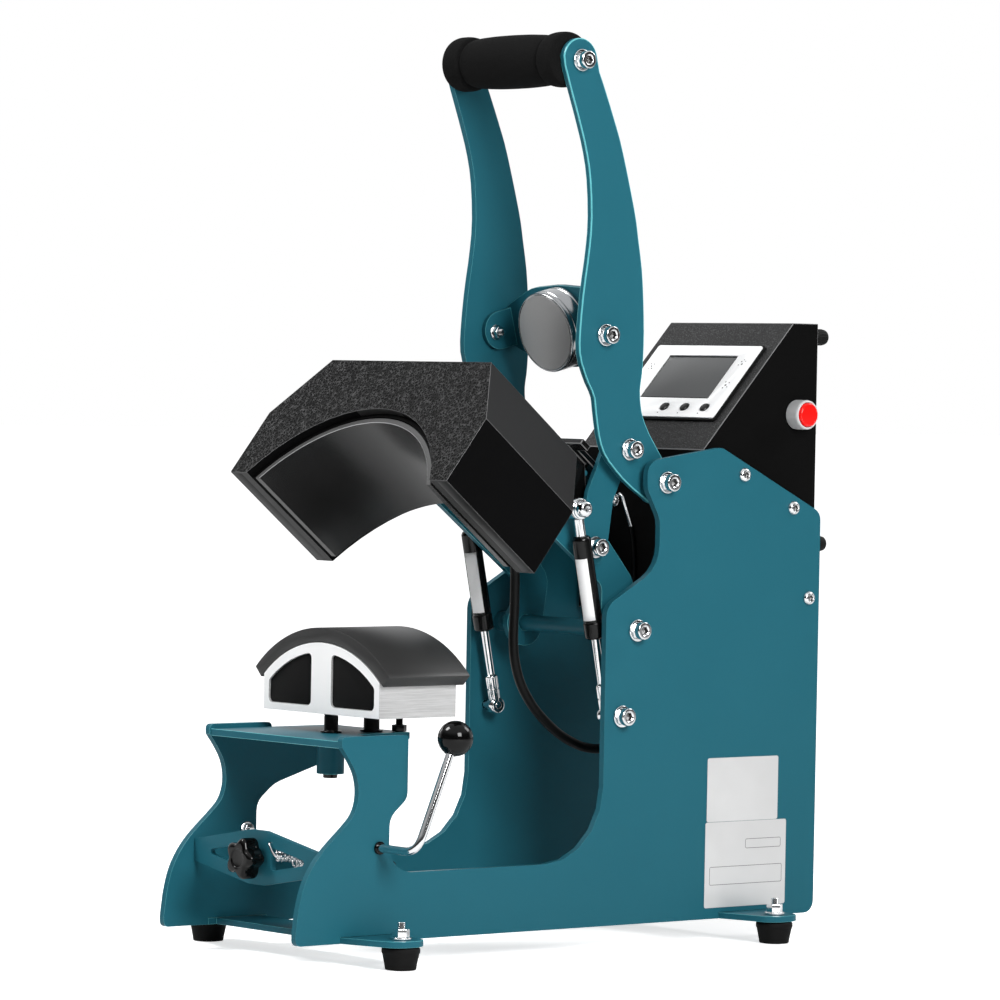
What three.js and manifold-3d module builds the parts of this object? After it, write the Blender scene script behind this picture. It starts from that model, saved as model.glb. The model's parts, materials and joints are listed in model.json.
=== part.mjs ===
// A cap heat press, open: a curved heated platen swings down on a curved block as the handle is pulled.
// Millimetres, +X to the right of someone who stands at the front, +Y to the rear, +Z up.
// Heights and depths are measured from the axle on which the platen swings.
import * as THREE from "three";
import { mergeVertices } from "three/addons/utils/BufferGeometryUtils.js";
import Module from "manifold-3d";

const wasm = await Module();
wasm.setup();

// Clearances that many pieces share.
const gap = 0.3; // between faces that touch or turn on each other
const overrun = 2; // how far a cut runs past the face it opens
const weldMerge = 1e-3; // vertices closer than this are one

// Pivots in the plane of the side plates, each [depth, height] from the axle.
const handlePivot = [26.2, 107.3];
const linkFoot = [-21.5, 59.7];
const linkHead = [-0.6, 130.9];
const gasFoot = [-13.5, -62];
const gasHead = [-45, 87.8];
const platenTilt = 38.7; // degrees the platen stands open

// Side plates.
const plateThickness = 5;
const plateInner = 74; // from the middle plane to a plate's inner face
const plateOuter = plateInner + plateThickness;
const plateFront = -307.5;
const plateBack = 180.8;
const plateBottom = -213.4;
const plateTop = 133.1;
const railTop = -166.2;
const columnFront = -29;
const standBack = -210.5;
const standFront = -269.8;
const throatBack = -226.2; // rear edge of the stand's waist
const plateLip = 3.2; // how far the plates stand above the shelf
const cornerRadius = 9;
const throatRadius = 26;
const columnRadius = 54;
const bowlRadius = 27;
const bowlBack = 21; // deepest point of the bowl round the links
const bowlFloor = 46;
const lobeRadius = 18; // round the handle pivot
const pivotShare = 0.85; // of that radius, up to the plate's shoulder there

// Shelf and what stands on it.
const shelfTop = -73;
const shelfThickness = 5;
const shelfFront = -268.7;
const shelfBack = -210;
const tongueRight = 18;
const tongueBack = -158.5;
const bossRadius = 9.8;
const bossLength = 24;
const frontPost = [0, -217.6];
const frontPostRadius = 5.15;
const frontPostTail = 3;
const rearPost = [2, -182.5];
const rearPostRadius = 5.8;
const rearPostTail = 8;
const adjuster = [10, -163.5];
const adjusterRadius = 2.85;
const adjusterNutRadius = 5.2;
const adjusterNutHeight = 4.6;
const adjusterTail = 10;

// Base.
const crossTop = -209;
const crossThickness = 4.4;
const frontCross = [-261, -222];
const rearCross = [92, 132];
const frontTab = [-268, -216];
const rearTab = [86, 139];
const tabTipHalf = 14;
const footBeyond = 32; // from a side plate's outer face to the middle of a foot
const footToTip = 13; // from the middle of a foot to the end of its tab
const frontFootDepth = -240;
const rearFootDepth = 112;
const footTopRadius = 13.5;
const footBottomRadius = 11;
const footHeight = 16.3;
const footStudRadius = 4;
const footStudHeight = 12;
const footAcross = plateOuter + footBeyond;

// Pressure bracket, its knob, springs and the ball lever.
const bracketDepth = -280; // middle of its thickness
const bracketThickness = 4;
const bracketHeight = -158.9;
const bracketEndHalf = 7.65;
const bracketMiddleHalf = 19.15;
const bracketFlat = 9; // half width of the flat top of the diamond
const windowInner = 16.8;
const windowTip = 63.7;
const windowHalf = 8.15;
const windowRadius = 2;
const knobRadius = 15;
const knobLobes = 5;
const knobLobeShare = 0.1;
const knobLobeSteps = 8;
const knobThickness = 13;
const knobHubRadius = 8;
const knobHubLength = 4;
const knobStudRadius = 3;
const knobStudLength = 16;
const springAcross = 26.5;
const springRadius = 4.2; // to the wire's centre line
const springWire = 0.65; // wire radius
const springPitch = 3.5;
const springSteps = 8;
const springSides = 5;
const springHole = [14.5, 11]; // across, and above the middle of the bracket
const springHoleRadius = 1.6;
const springBarDepth = -218.5;
const springBarHeight = -161.5;
const springBarRadius = 3;
const leverDepth = -235.4;
const leverHeight = -148;
const leverRadius = 3;
const leverAcross = 121;
const leverBend = 12;
const leverInside = 12; // how far its shaft stands in from the right plate
const leverTilt = 22.7; // degrees to the rear
const leverArm = 84.7;
const ballRadius = 12.5;
const ballBore = 9;

// Lower block and pad.
const blockFront = -227.4;
const blockBack = -158;
const blockHalf = 66.5;
const blockBottom = -59.2;
const padCentre = -108.6; // height of the common centre of pad, shell and liner when closed
const padOuter = 110.5;
const padInner = 100.3;
const padBack = -154;
const padHalfAngle = 44.3;
const pocketInner = 11.5;
const pocketOuter = 60.5;
const pocketWall = 5.3;
const pocketRoof = 7;
const pocketRadius = 4;

// Platen, drawn closed and then turned back by its tilt.
const coverFront = -238;
const coverBack = -134;
const coverBottom = -50.5;
const coverHalf = 124;
const coverShoulder = 55.5; // height of the side walls
const coverTopHalf = 90.4;
const coverHeight = 106;
const coverWall = 2.5;
const coverArch = 120;
const coverHem = 3; // width of the turned edge that closes each leg
const linerOuter = coverArch - gap;
const shellOuter = 116.5;
const shellInner = 112;
const shellRecess = 6;
const leadExit = [20, 70]; // across, and above the platen's bottom

// Swing arms, axle and armature.
const swingInner = 46;
const swingThickness = 5;
const swingOuter = swingInner + swingThickness;
const axleRadius = 5.8;
const axleLobe = 17;
const lobeFillet = 4;
const lobeShares = [0.85, 2]; // of half a turn, where the round end starts and stops
const armatureFrontEdge = [-38.9, 138.6];
const armatureBackEdge = [0.1, 107.4];
const armatureThickness = 5;
const armatureWingDepth = 9;
const cheekThickness = 4;
const armFootRise = 16; // above the axle's height, where an arm meets the closed platen
const armWaist = [-9.5, 31.8];
const waistFoot = 16; // height of the waist's lower end
const cheekShare = 0.4; // of the armature's depth, over its cheeks
const cheekFoot = [-21, 84];

// Links.
const linkClearance = 0.4;
const linkInner = swingOuter + linkClearance;
const linkThickness = 4;
const linkOuter = linkInner + linkThickness;
const linkEye = 12.5;
const linkBulge = 5.5;

// Handle.
const armInner = 62.7;
const armThickness = 5;
const armTop = [-53.4, 410.4];
const armTopRadius = 16;
const gripHeight = 411;
const gripDepth = -58;
const gripFlangeRadius = 20;
const gripFlangeLength = 20;
const gripNeckRadius = 17.5;
const gripMiddleRadius = 19.5;
const magnetFace = [-25.4, 214.8];
const magnetRadius = 28.75;
const magnetPot = 30;
const magnetDepth = 20;
const magnetLip = 3;
const magnetTilt = 14.6; // degrees that its face looks down, so that it meets the armature flat
const yokeThickness = 4;
const yokeHalfHeight = 31;
const yokeShare = 0.93; // of its height, half way to its ends
const yokeEndHalf = 15;
const yokeEar = 32;
const yokeEarRadius = 14;

// Fasteners.
const boltRadius = 5;
const boltHeadRadius = 6.5;
const boltHead = 6.5;
const washerRadius = 8;
const washerThickness = 2.6;
const studRadius = 3;
const studHeadRadius = 5.5;

// Gas springs.
const gasAcross = 62.8;
const gasRadius = 7;
const gasRodRadius = 3;
const gasEyeRadius = 8.2;
const gasEyeWidth = 9;
const gasEyeBore = 5.3;
const gasNeckRadius = 3.6;
const gasNeck = 20; // from the eye to the cylinder
const gasCylinder = 76;
const gasSocketRadius = 6.2;
const gasSocketBore = 3.6;
const gasFerrule = 24;
const gasFerruleRadius = 4.4;

// Control box.
const boxHalf = 68.6;
const boxWall = 1.5;
const boxFront = 71.3;
const boxBack = 184.5;
const boxBottom = 10;
const boxSillHeight = 131.2; // where the slanted face starts
const boxTop = 225.9;
const boxTopFront = 159.3;
const boxBosses = [
  [102.6, 113],
  [152.5, 88.6],
  [169.6, 21.5],
];
const boxBossRadius = 6;
const panelHalf = 58;
const panelNear = 27; // down the slope from the top edge
const panelFar = 100;
const panelThickness = 3;
const panelRadius = 2;
const screenHalf = 38.7;
const screenNear = 37;
const screenFar = 81;
const screenThickness = 1.6;
const screenRadius = 1;
const keyDown = 90;
const keyFirst = -2.5;
const keyStep = 22.25;
const keyCount = 3;
const keyHalfWidth = 4.3;
const keyHalfHeight = 3.6;
const keyTop = 4.2;
const keyTravel = 0.8;
const stopCentre = [164, 157.9];
const bezelRadius = 11;
const bezelBore = 9.3;
const bezelLength = 12.5;
const bezelFloor = 1.5;
const capRadius = 9;
const capReach = 14.5;
const capShare = 0.75; // width of the cap's flat top
const capTravel = 3;
const fuseInset = [8.6, 9.9]; // from the right side and the top of the box
const fuseRadius = 7.3;
const fuseReach = 14.5;
const fuseCapRadius = 6;
const fuseFlange = 3;
const glandInset = [16.6, 51]; // from the right side and the bottom of the box
const glandRadius = 7.5;
const glandNeckRadius = 5.5;
const glandReach = 24;
const glandBore = 3.4;
const boardHalf = 50;
const boardNear = 33;
const boardFar = 95;
const boardThickness = 1.6;
const standoff = 6;
const standoffRadius = 3;

// Heater lead, from the platen's rear wall to the bottom of the box.
const leadRadius = 3.5;
const leadSides = 10;
const leadSteps = 44;
const leadRoute = [
  [20, -92.1, 98.8],
  [20, -85.5, 93.5],
  [20, -78.2, 85.5],
  [20, -72.4, 73],
  [20, -68.4, 56],
  [20, -66.4, 40],
  [20, -66.2, 15.3],
  [20, -66.7, -7.2],
  [20, -64.9, -23.9],
  [20, -58.8, -40.8],
  [20, -47.9, -56.3],
  [20, -33.3, -69.8],
  [20, -17, -80.6],
  [20, 3, -88.4],
  [20, 24, -89.6],
  [20, 50, -82.5],
  [20, 76, -66],
  [20, 94, -42],
  [20, 103, -18],
  [20, 105, 0],
  [20, 105, 9.7],
];

// Colours and finishes.
const finish = (color, roughness, metalness) => () =>
  new THREE.MeshStandardMaterial({ color, roughness, metalness });
const tealPaint = finish(0x2a6b78, 0.45, 0.1);
const blackPaint = finish(0x1a1a1c, 0.6, 0.1);
const blackPlastic = finish(0x111113, 0.45, 0);
const blackRubber = finish(0x18181a, 0.8, 0);
const brightSteel = finish(0xd0d2d5, 0.2, 1);
const brushedAluminium = finish(0xc9cbcd, 0.4, 0.9);
const whitePlastic = finish(0xe8eaec, 0.4, 0);
const redPlastic = finish(0xd81e1a, 0.35, 0);
const screenGrey = finish(0x55585c, 0.25, 0);
const boardGreen = finish(0x1c5a38, 0.5, 0);

const radians = THREE.MathUtils.degToRad;
const axisX = new THREE.Vector3(1, 0, 0);
const axisY = new THREE.Vector3(0, 1, 0);
const axisZ = new THREE.Vector3(0, 0, 1);
const quarterTurn = Math.PI / 2;
const fillet = Math.PI / 10; // angle of each step of a rounded corner
const roundSides = 20;
const fineSides = 36;
const hexSides = 6;

// The points of an outline whose corners, each [across, up, radius], are rounded.
function rounded(corners) {
  const points = [];
  corners.forEach(([x, y, radius = 0], i) => {
    const here = new THREE.Vector2(x, y);
    const [beforeX, beforeY] = corners.at(i - 1);
    const [afterX, afterY] = corners[(i + 1) % corners.length];
    const back = new THREE.Vector2(beforeX, beforeY).sub(here);
    const forth = new THREE.Vector2(afterX, afterY).sub(here);
    const room = Math.min(back.length(), forth.length()) / 2;
    back.normalize();
    forth.normalize();
    const half = Math.acos(THREE.MathUtils.clamp(back.dot(forth), -1, 1)) / 2;
    const trim = Math.min(radius / Math.tan(half), room);
    if (trim <= 0) {
      points.push(here);
      return;
    }
    const r = trim * Math.tan(half);
    const bisector = back.clone().add(forth).normalize();
    const centre = here.clone().addScaledVector(bisector, r / Math.sin(half));
    const first = here.clone().addScaledVector(back, trim).sub(centre);
    const turn = Math.PI - 2 * half;
    const way = -Math.sign(back.cross(forth)) || 1;
    const steps = Math.max(1, Math.ceil(turn / fillet));
    for (let k = 0; k <= steps; k++) {
      const point = first.clone().rotateAround(new THREE.Vector2(), (way * turn * k) / steps);
      points.push(point.add(centre));
    }
  });
  return points.filter((point, i) => point.distanceTo(points.at(i - 1)) > gap / 10);
}

// The points of a circle, or of a stretch of one.
function arc(x, y, radius, from = 0, to = 2 * Math.PI, steps = roundSides) {
  const closed = to - from >= 2 * Math.PI;
  const count = closed ? steps : steps + 1;
  return Array.from({ length: count }, (_, k) => {
    const angle = from + ((to - from) * k) / steps;
    return new THREE.Vector2(x + radius * Math.cos(angle), y + radius * Math.sin(angle));
  });
}

const vectors = (corners) => corners.map(([x, y]) => new THREE.Vector2(x, y));

// A shape with holes, each given as points.
function shapeOf(points, holes = []) {
  const shape = new THREE.Shape(points);
  shape.holes = holes.map((hole) => new THREE.Path(hole));
  return shape;
}

function extruded(points, depth, holes) {
  return new THREE.ExtrudeGeometry(shapeOf(points, holes), { depth, bevelEnabled: false });
}

// A sheet drawn in depth and height, thick to the right.
function sheetAcross(points, thickness, holes) {
  const turn = new THREE.Matrix4().makeBasis(axisY, axisZ, axisX);
  return extruded(points, thickness, holes).applyMatrix4(turn);
}

// A block drawn across and in height, from its rear face forward.
function blockForward(points, depth, holes) {
  const turn = new THREE.Matrix4().makeBasis(axisX, axisZ, axisY.clone().negate());
  return extruded(points, depth, holes).applyMatrix4(turn);
}

// A round piece on the local Y axis: its half outline is [radius, height] pairs from the axis to the axis.
function turned(profile, sides = roundSides) {
  return new THREE.LatheGeometry(
    profile.map(([r, h]) => new THREE.Vector2(r, h)),
    sides,
  );
}

function rod(radius, length, sides = roundSides) {
  return new THREE.CylinderGeometry(radius, radius, length, sides);
}

// The same geometry moved to a place, with its Y axis laid along X when asked.
function placed(geometry, x, y, z, across = false) {
  if (across) geometry.rotateZ(-quarterTurn);
  return geometry.translate(x, y, z);
}

function toSolid(geometry) {
  const bare = geometry.clone();
  bare.deleteAttribute("normal");
  bare.deleteAttribute("uv");
  const merged = mergeVertices(bare, weldMerge);
  return new wasm.Manifold(
    new wasm.Mesh({
      numProp: 3,
      vertProperties: merged.attributes.position.array,
      triVerts: merged.index.array,
    }),
  );
}

function toGeometry(solid) {
  const mesh = solid.getMesh();
  const geometry = new THREE.BufferGeometry();
  geometry.setAttribute("position", new THREE.BufferAttribute(mesh.vertProperties, mesh.numProp));
  geometry.setIndex(new THREE.BufferAttribute(mesh.triVerts, 1));
  const facets = geometry.toNonIndexed();
  facets.computeVertexNormals();
  return facets;
}

// One solid made of a base, what is added to it and what is then cut from it.
function made(base, added, cuts = []) {
  let solid = toSolid(base);
  for (const piece of added) solid = solid.add(toSolid(piece));
  for (const piece of cuts) solid = solid.subtract(toSolid(piece));
  return toGeometry(solid);
}

const press = new THREE.Group();
const frame = new THREE.Group();
const platen = new THREE.Group();
platen.rotation.x = -radians(platenTilt);
const handle = new THREE.Group();
const box = new THREE.Group();
press.add(frame, platen, handle, box);

function add(group, name, geometry, material, x = 0, y = 0, z = 0) {
  const mesh = new THREE.Mesh(geometry, material());
  mesh.name = name;
  mesh.position.set(x, y, z);
  group.add(mesh);
  return mesh;
}

const sides = [
  ["right", 1],
  ["left", -1],
];

// The left face of a sheet that stands on one side of the middle plane.
const nearX = (side, inner, thickness) => (side > 0 ? inner : -inner - thickness);

// Side plates: stand, rail and column in one outline. The left one has a wing under the shelf.
function sidePlateOutline(left) {
  const standTop = shelfTop + plateLip;
  const wingTop = shelfTop - shelfThickness - gap;
  const wingBack = tongueBack;
  const notch = crossTop + gap;
  const standRear = left
    ? [
        [standBack - plateLip, standTop, plateLip],
        [standBack - plateLip, wingTop, 0],
        [wingBack, wingTop, 3 * plateLip],
        [wingBack, wingTop - 4 * shelfThickness, 3 * plateLip],
        [standBack, railTop + 2 * throatRadius, throatRadius],
      ]
    : [
        [standBack, standTop, plateLip],
        [standBack, railTop + 2 * throatRadius, cornerRadius],
      ];
  return rounded([
    [standFront, standTop, plateLip],
    ...standRear,
    [throatBack, railTop + (3 * throatRadius) / 2, throatRadius / 2],
    [throatBack, railTop, throatRadius],
    [columnFront, railTop, columnRadius],
    [columnFront, lobeRadius, cornerRadius + plateThickness],
    [bowlBack, bowlFloor, bowlRadius],
    [bowlBack, handlePivot[1] - (3 * lobeRadius) / 2, lobeRadius],
    [handlePivot[0] - lobeRadius, handlePivot[1] - lobeRadius / 4, cornerRadius],
    [handlePivot[0] - lobeRadius - gap, handlePivot[1] + lobeRadius * pivotShare, lobeRadius],
    [boxFront + cornerRadius, plateTop, cornerRadius],
    [plateBack, boxBosses[1][1] - boxBossRadius + plateThickness / 2, cornerRadius],
    [plateBack, plateBottom, cornerRadius],
    [rearTab[1] + gap, plateBottom, 0],
    [rearTab[1] + gap, notch, 0],
    [rearTab[0] - gap, notch, 0],
    [rearTab[0] - gap, plateBottom, 0],
    [frontTab[1] + gap, plateBottom, 0],
    [frontTab[1] + gap, notch, 0],
    [frontTab[0] - gap, notch, 0],
    [frontTab[0] - gap, plateBottom, 0],
    [plateFront, plateBottom, cornerRadius],
    ...standProfile(standTop),
  ]);
}

// Front edge of the stand from the foot up, as shares of its depth and of its height.
function standProfile(standTop) {
  const shares = [
    [0, 0.06],
    [0.03, 0.12],
    [0.067, 0.184],
    [0.16, 0.274],
    [0.32, 0.358],
    [0.547, 0.4345],
    [0.813, 0.5],
    [1.08, 0.56],
    [1.293, 0.616],
    [1.395, 0.678],
    [1.411, 0.748],
    [1.347, 0.8175],
    [1.2, 0.884],
    [1.008, 0.95],
  ];
  const points = shares.map(
    ([ahead, up]) =>
      new THREE.Vector2(
        plateFront + (standFront - plateFront) * ahead,
        plateBottom + (standTop - plateBottom) * up,
      ),
  );
  return new THREE.SplineCurve(points).getPoints(2 * roundSides).map(({ x, y }) => [x, y, 0]);
}

function buildSidePlates() {
  for (const [word, side] of sides) {
    const holes = [arc(...handlePivot, boltRadius + gap)];
    if (side > 0) holes.push(arc(leverDepth, leverHeight, leverRadius + gap));
    holes.push(arc(...gasFoot, studRadius + gap));
    const plate = sheetAcross(sidePlateOutline(side < 0), plateThickness, holes);
    add(frame, `side_plate_${word}`, plate, tealPaint, nearX(side, plateInner, plateThickness));
  }
}

// Base plates whose tabs pass under the side plates and carry the feet.
function crossPlate([front, back], [tabFront, tabBack], footDepth) {
  const shoulder = plateInner - gap;
  const half = (points) =>
    points.map(([x, y, radius]) => [-x, y, radius]).reverse();
  const rightEdge = [
    [shoulder, front, 0],
    [shoulder, tabFront, 0],
    [plateOuter, tabFront, 0],
    [footAcross + footToTip, footDepth - tabTipHalf, tabTipHalf],
    [footAcross + footToTip, footDepth + tabTipHalf, tabTipHalf],
    [plateOuter, tabBack, 0],
    [shoulder, tabBack, 0],
    [shoulder, back, 0],
  ];
  const holes = [-1, 1].map((side) => arc(side * footAcross, footDepth, footStudRadius + gap));
  return extruded(rounded([...rightEdge, ...half(rightEdge)]), crossThickness, holes);
}

function buildBase() {
  const bottom = crossTop - crossThickness;
  const rows = [
    ["front", frontCross, frontTab, frontFootDepth],
    ["rear", rearCross, rearTab, rearFootDepth],
  ];
  for (const [word, plate, tab, depth] of rows) {
    add(frame, `${word}_cross_plate`, crossPlate(plate, tab, depth), tealPaint, 0, 0, bottom);
    for (const [sideWord, side] of sides) {
      const foot = turned([
        [0, -footHeight],
        [footBottomRadius, -footHeight],
        [footTopRadius, -footHeight / 3],
        [footTopRadius, 0],
        [footStudRadius, 0],
        [footStudRadius, footStudHeight],
        [0, footStudHeight],
      ]);
      foot.rotateX(quarterTurn);
      add(frame, `foot_${word}_${sideWord}`, foot, blackRubber, side * footAcross, depth, bottom - gap);
    }
  }
}

// Shelf between the plates, with a tongue to the rear and a boss welded under it.
function buildShelf() {
  const edge = plateInner - gap;
  const points = rounded([
    [-edge, shelfFront, 0],
    [edge, shelfFront, 0],
    [edge, shelfBack, plateLip],
    [tongueRight, shelfBack, plateLip],
    [tongueRight, tongueBack, plateLip],
    [-edge, tongueBack, plateLip],
  ]);
  const holes = [
    arc(...frontPost, frontPostRadius + gap),
    arc(...rearPost, rearPostRadius + gap),
    arc(adjuster[0], adjuster[1], adjusterRadius + gap),
  ];
  const plate = extruded(points, shelfThickness, holes).translate(0, 0, shelfTop - shelfThickness);
  const bossBottom = shelfTop - shelfThickness - bossLength;
  const boss = extruded(arc(...frontPost, bossRadius), bossLength + shelfThickness / 2)
    .translate(0, 0, bossBottom);
  const bore = extruded(arc(...frontPost, frontPostRadius + gap), 2 * bossLength)
    .translate(0, 0, bossBottom - overrun);
  add(frame, "shelf", made(plate, [boss], [bore]), tealPaint);

  const postTop = blockBottom - gap;
  const frontBottom = bossBottom - frontPostTail;
  const upright = (radius, bottom) =>
    rod(radius, postTop - bottom).rotateX(quarterTurn).translate(0, 0, (postTop + bottom) / 2);
  add(frame, "front_post", upright(frontPostRadius, frontBottom), blackPaint, ...frontPost);
  const rearBottom = shelfTop - shelfThickness - rearPostTail;
  add(frame, "rear_post", upright(rearPostRadius, rearBottom), blackPaint, ...rearPost);
  const nutTop = shelfTop + gap + adjusterNutHeight;
  const screw = made(upright(adjusterRadius, shelfTop - shelfThickness - adjusterTail), [
    rod(adjusterNutRadius, adjusterNutHeight, hexSides)
      .rotateX(quarterTurn)
      .translate(0, 0, nutTop - adjusterNutHeight / 2),
  ]);
  add(frame, "adjusting_screw", screw, brightSteel, ...adjuster);
}

// Aluminium block with two pockets from the front, and the silicone pad over its arch.
function buildBlock() {
  const armOf = (radius, x) => padCentre + Math.sqrt(radius ** 2 - x ** 2);
  const blockArch = padInner - gap;
  const halfAngle = Math.asin(blockHalf / blockArch);
  const archPoints = (radius, angle) =>
    arc(0, padCentre, radius, quarterTurn - angle, quarterTurn + angle, roundSides);
  const block = blockForward(
    [
      new THREE.Vector2(-blockHalf, blockBottom),
      new THREE.Vector2(blockHalf, blockBottom),
      ...archPoints(blockArch, halfAngle),
    ],
    blockBack - blockFront,
    [-1, 1].map((side) => {
      const floor = blockBottom + pocketWall;
      const roof = blockArch - pocketRoof;
      const steps = 6;
      const top = Array.from({ length: steps + 1 }, (_, k) => {
        const x = pocketInner + ((pocketOuter - pocketInner) * k) / steps;
        return [side * x, armOf(roof, x), k % steps ? 0 : pocketRadius];
      });
      return rounded([
        [side * pocketOuter, floor, pocketRadius],
        [side * pocketInner, floor, pocketRadius],
        ...top,
      ]);
    }),
  );
  add(frame, "lower_block", block, brushedAluminium, 0, blockBack);
  const angle = radians(padHalfAngle);
  const pad = blockForward(
    [...archPoints(padOuter, angle), ...archPoints(padInner, angle).reverse()],
    padBack - blockFront,
  );
  add(frame, "silicone_pad", pad, blackRubber, 0, padBack);
}

// Diamond bracket between the plates, with two triangular windows and the star knob in its middle.
function buildPressureBracket() {
  const end = plateInner - gap;
  const diamond = rounded([
    [-end, -bracketEndHalf, 0],
    [-bracketFlat, -bracketMiddleHalf, bracketFlat / 2],
    [bracketFlat, -bracketMiddleHalf, bracketFlat / 2],
    [end, -bracketEndHalf, 0],
    [end, bracketEndHalf, 0],
    [bracketFlat, bracketMiddleHalf, bracketFlat / 2],
    [-bracketFlat, bracketMiddleHalf, bracketFlat / 2],
    [-end, bracketEndHalf, 0],
  ]);
  const windows = [-1, 1].map((side) =>
    rounded([
      [side * windowInner, -windowHalf, windowRadius],
      [side * windowTip, 0, windowRadius],
      [side * windowInner, windowHalf, windowRadius],
    ]),
  );
  const [holeAcross, holeUp] = springHole;
  const plate = blockForward(diamond, bracketThickness, [
    ...windows,
    arc(0, 0, knobStudRadius + gap),
    arc(-holeAcross, holeUp, springHoleRadius),
    arc(holeAcross, holeUp, springHoleRadius),
  ]);
  const back = bracketDepth + bracketThickness / 2;
  add(frame, "pressure_bracket", plate, tealPaint, 0, back, bracketHeight);

  const starSteps = knobLobes * knobLobeSteps;
  const star = Array.from({ length: starSteps }, (_, k) => {
    const angle = (2 * Math.PI * k) / starSteps;
    const r = knobRadius * (1 - knobLobeShare + knobLobeShare * Math.cos(knobLobes * angle));
    return new THREE.Vector2(r * Math.cos(angle), r * Math.sin(angle));
  });
  const hubBack = -bracketThickness - gap;
  const along = (radius, length, from) =>
    rod(radius, length).translate(0, from - length / 2, 0);
  const knob = made(
    blockForward(star, knobThickness).translate(0, hubBack - knobHubLength, 0),
    [
      along(knobHubRadius, knobHubLength + overrun, hubBack),
      along(knobStudRadius, knobStudLength, hubBack - knobHubLength + knobStudLength),
    ],
  );
  add(frame, "star_knob", knob, blackPlastic, 0, back, bracketHeight);
}

// A tube of a few sides along a list of points, closed at both ends.
function wire(points, radius, sideCount) {
  const vertices = [];
  const faces = [];
  const normal = new THREE.Vector3();
  const heading = points[1].clone().sub(points[0]);
  const sideways = Math.abs(heading.x) > Math.abs(heading.y);
  const across = new THREE.Vector3(sideways ? 0 : 1, sideways ? 1 : 0, 0);
  points.forEach((point, i) => {
    const before = points[Math.max(i - 1, 0)];
    const after = points[Math.min(i + 1, points.length - 1)];
    const along = after.clone().sub(before).normalize();
    across.addScaledVector(along, -across.dot(along)).normalize();
    normal.crossVectors(along, across);
    for (let k = 0; k < sideCount; k++) {
      const angle = (2 * Math.PI * k) / sideCount;
      const vertex = point
        .clone()
        .addScaledVector(across, radius * Math.cos(angle))
        .addScaledVector(normal, radius * Math.sin(angle));
      vertices.push(vertex.x, vertex.y, vertex.z);
    }
  });
  for (let i = 0; i + 1 < points.length; i++) {
    for (let k = 0; k < sideCount; k++) {
      const a = i * sideCount + k;
      const b = i * sideCount + ((k + 1) % sideCount);
      faces.push(a, b, a + sideCount, b, b + sideCount, a + sideCount);
    }
  }
  const last = (points.length - 1) * sideCount;
  for (let k = 1; k + 1 < sideCount; k++) {
    faces.push(0, k + 1, k, last, last + k, last + k + 1);
  }
  const geometry = new THREE.BufferGeometry();
  geometry.setAttribute("position", new THREE.Float32BufferAttribute(vertices, 3));
  geometry.setIndex(faces);
  geometry.computeVertexNormals();
  return geometry;
}

// Centre line of a pull spring, from the bracket through its window to the bar behind: hook, helix, hook.
function springRoute(side) {
  const at = (across, ahead, up) =>
    new THREE.Vector3(side * across, bracketDepth + ahead, bracketHeight + up);
  const face = bracketThickness / 2 + gap + springWire;
  const [holeAcross, holeUp] = springHole;
  const [stepAcross, stepUp] = [(springAcross - holeAcross) / 4, holeUp / 4];
  const points = [
    at(holeAcross, 2 * face, holeUp),
    at(holeAcross, -face / 2, holeUp),
    at(holeAcross + stepAcross / 2, -face, holeUp),
    at(holeAcross + stepAcross, -face - springWire, holeUp - stepUp / 2),
    at(holeAcross + 2 * stepAcross, -face - springWire, holeUp - 2 * stepUp),
    at(holeAcross + 3 * stepAcross, -face, holeUp - 3 * stepUp),
    at(springAcross, 0, holeUp - 3 * stepUp),
    at(springAcross, face, holeUp - 3 * stepUp),
  ];
  // The helix lies along the line from the window to the bar.
  const clear = springBarRadius + gap + 2 * springWire;
  const first = at(springAcross, 3 * face, 0);
  const last = new THREE.Vector3(side * springAcross, springBarDepth - clear, springBarHeight);
  const along = last.clone().sub(first).normalize();
  const lift = new THREE.Vector3().crossVectors(axisX, along);
  const curls = Math.floor((first.distanceTo(last) - springWire) / springPitch);
  for (let k = 0; k <= curls * springSteps; k++) {
    const angle = (2 * Math.PI * k) / springSteps;
    const point = first.clone().addScaledVector(along, springWire + (springPitch * k) / springSteps);
    point.addScaledVector(axisX, springRadius * Math.sin(angle));
    point.addScaledVector(lift, springRadius * Math.cos(angle));
    points.push(point);
  }
  // The rear hook goes over the bar and down behind it.
  for (let k = 0; k <= springSteps; k++) {
    const angle = Math.PI - (Math.PI * k) / springSteps;
    points.push(
      new THREE.Vector3(
        side * springAcross,
        springBarDepth + clear * Math.cos(angle),
        springBarHeight + clear * Math.sin(angle),
      ),
    );
  }
  return points;
}

// Least distance between stretches of the centre line that are a curl apart, less the wire.
function leastGap(points) {
  let least = Infinity;
  for (let i = 0; i < points.length; i++) {
    for (let j = i + springSteps - 1; j < points.length; j++) {
      least = Math.min(least, points[i].distanceTo(points[j]));
    }
  }
  return least - 2 * springWire;
}

function buildSprings() {
  for (const [word, side] of sides) {
    const route = springRoute(side);
    console.log(`least gap between the spring's curls: ${leastGap(route).toFixed(2)} mm`);
    add(frame, `pull_spring_${word}`, wire(route, springWire, springSides), brightSteel);
  }
  const bar = placed(rod(springBarRadius, 2 * (plateInner - gap)), 0, 0, 0, true);
  add(frame, "spring_bar", bar, blackPaint, 0, springBarDepth, springBarHeight);
}

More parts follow.
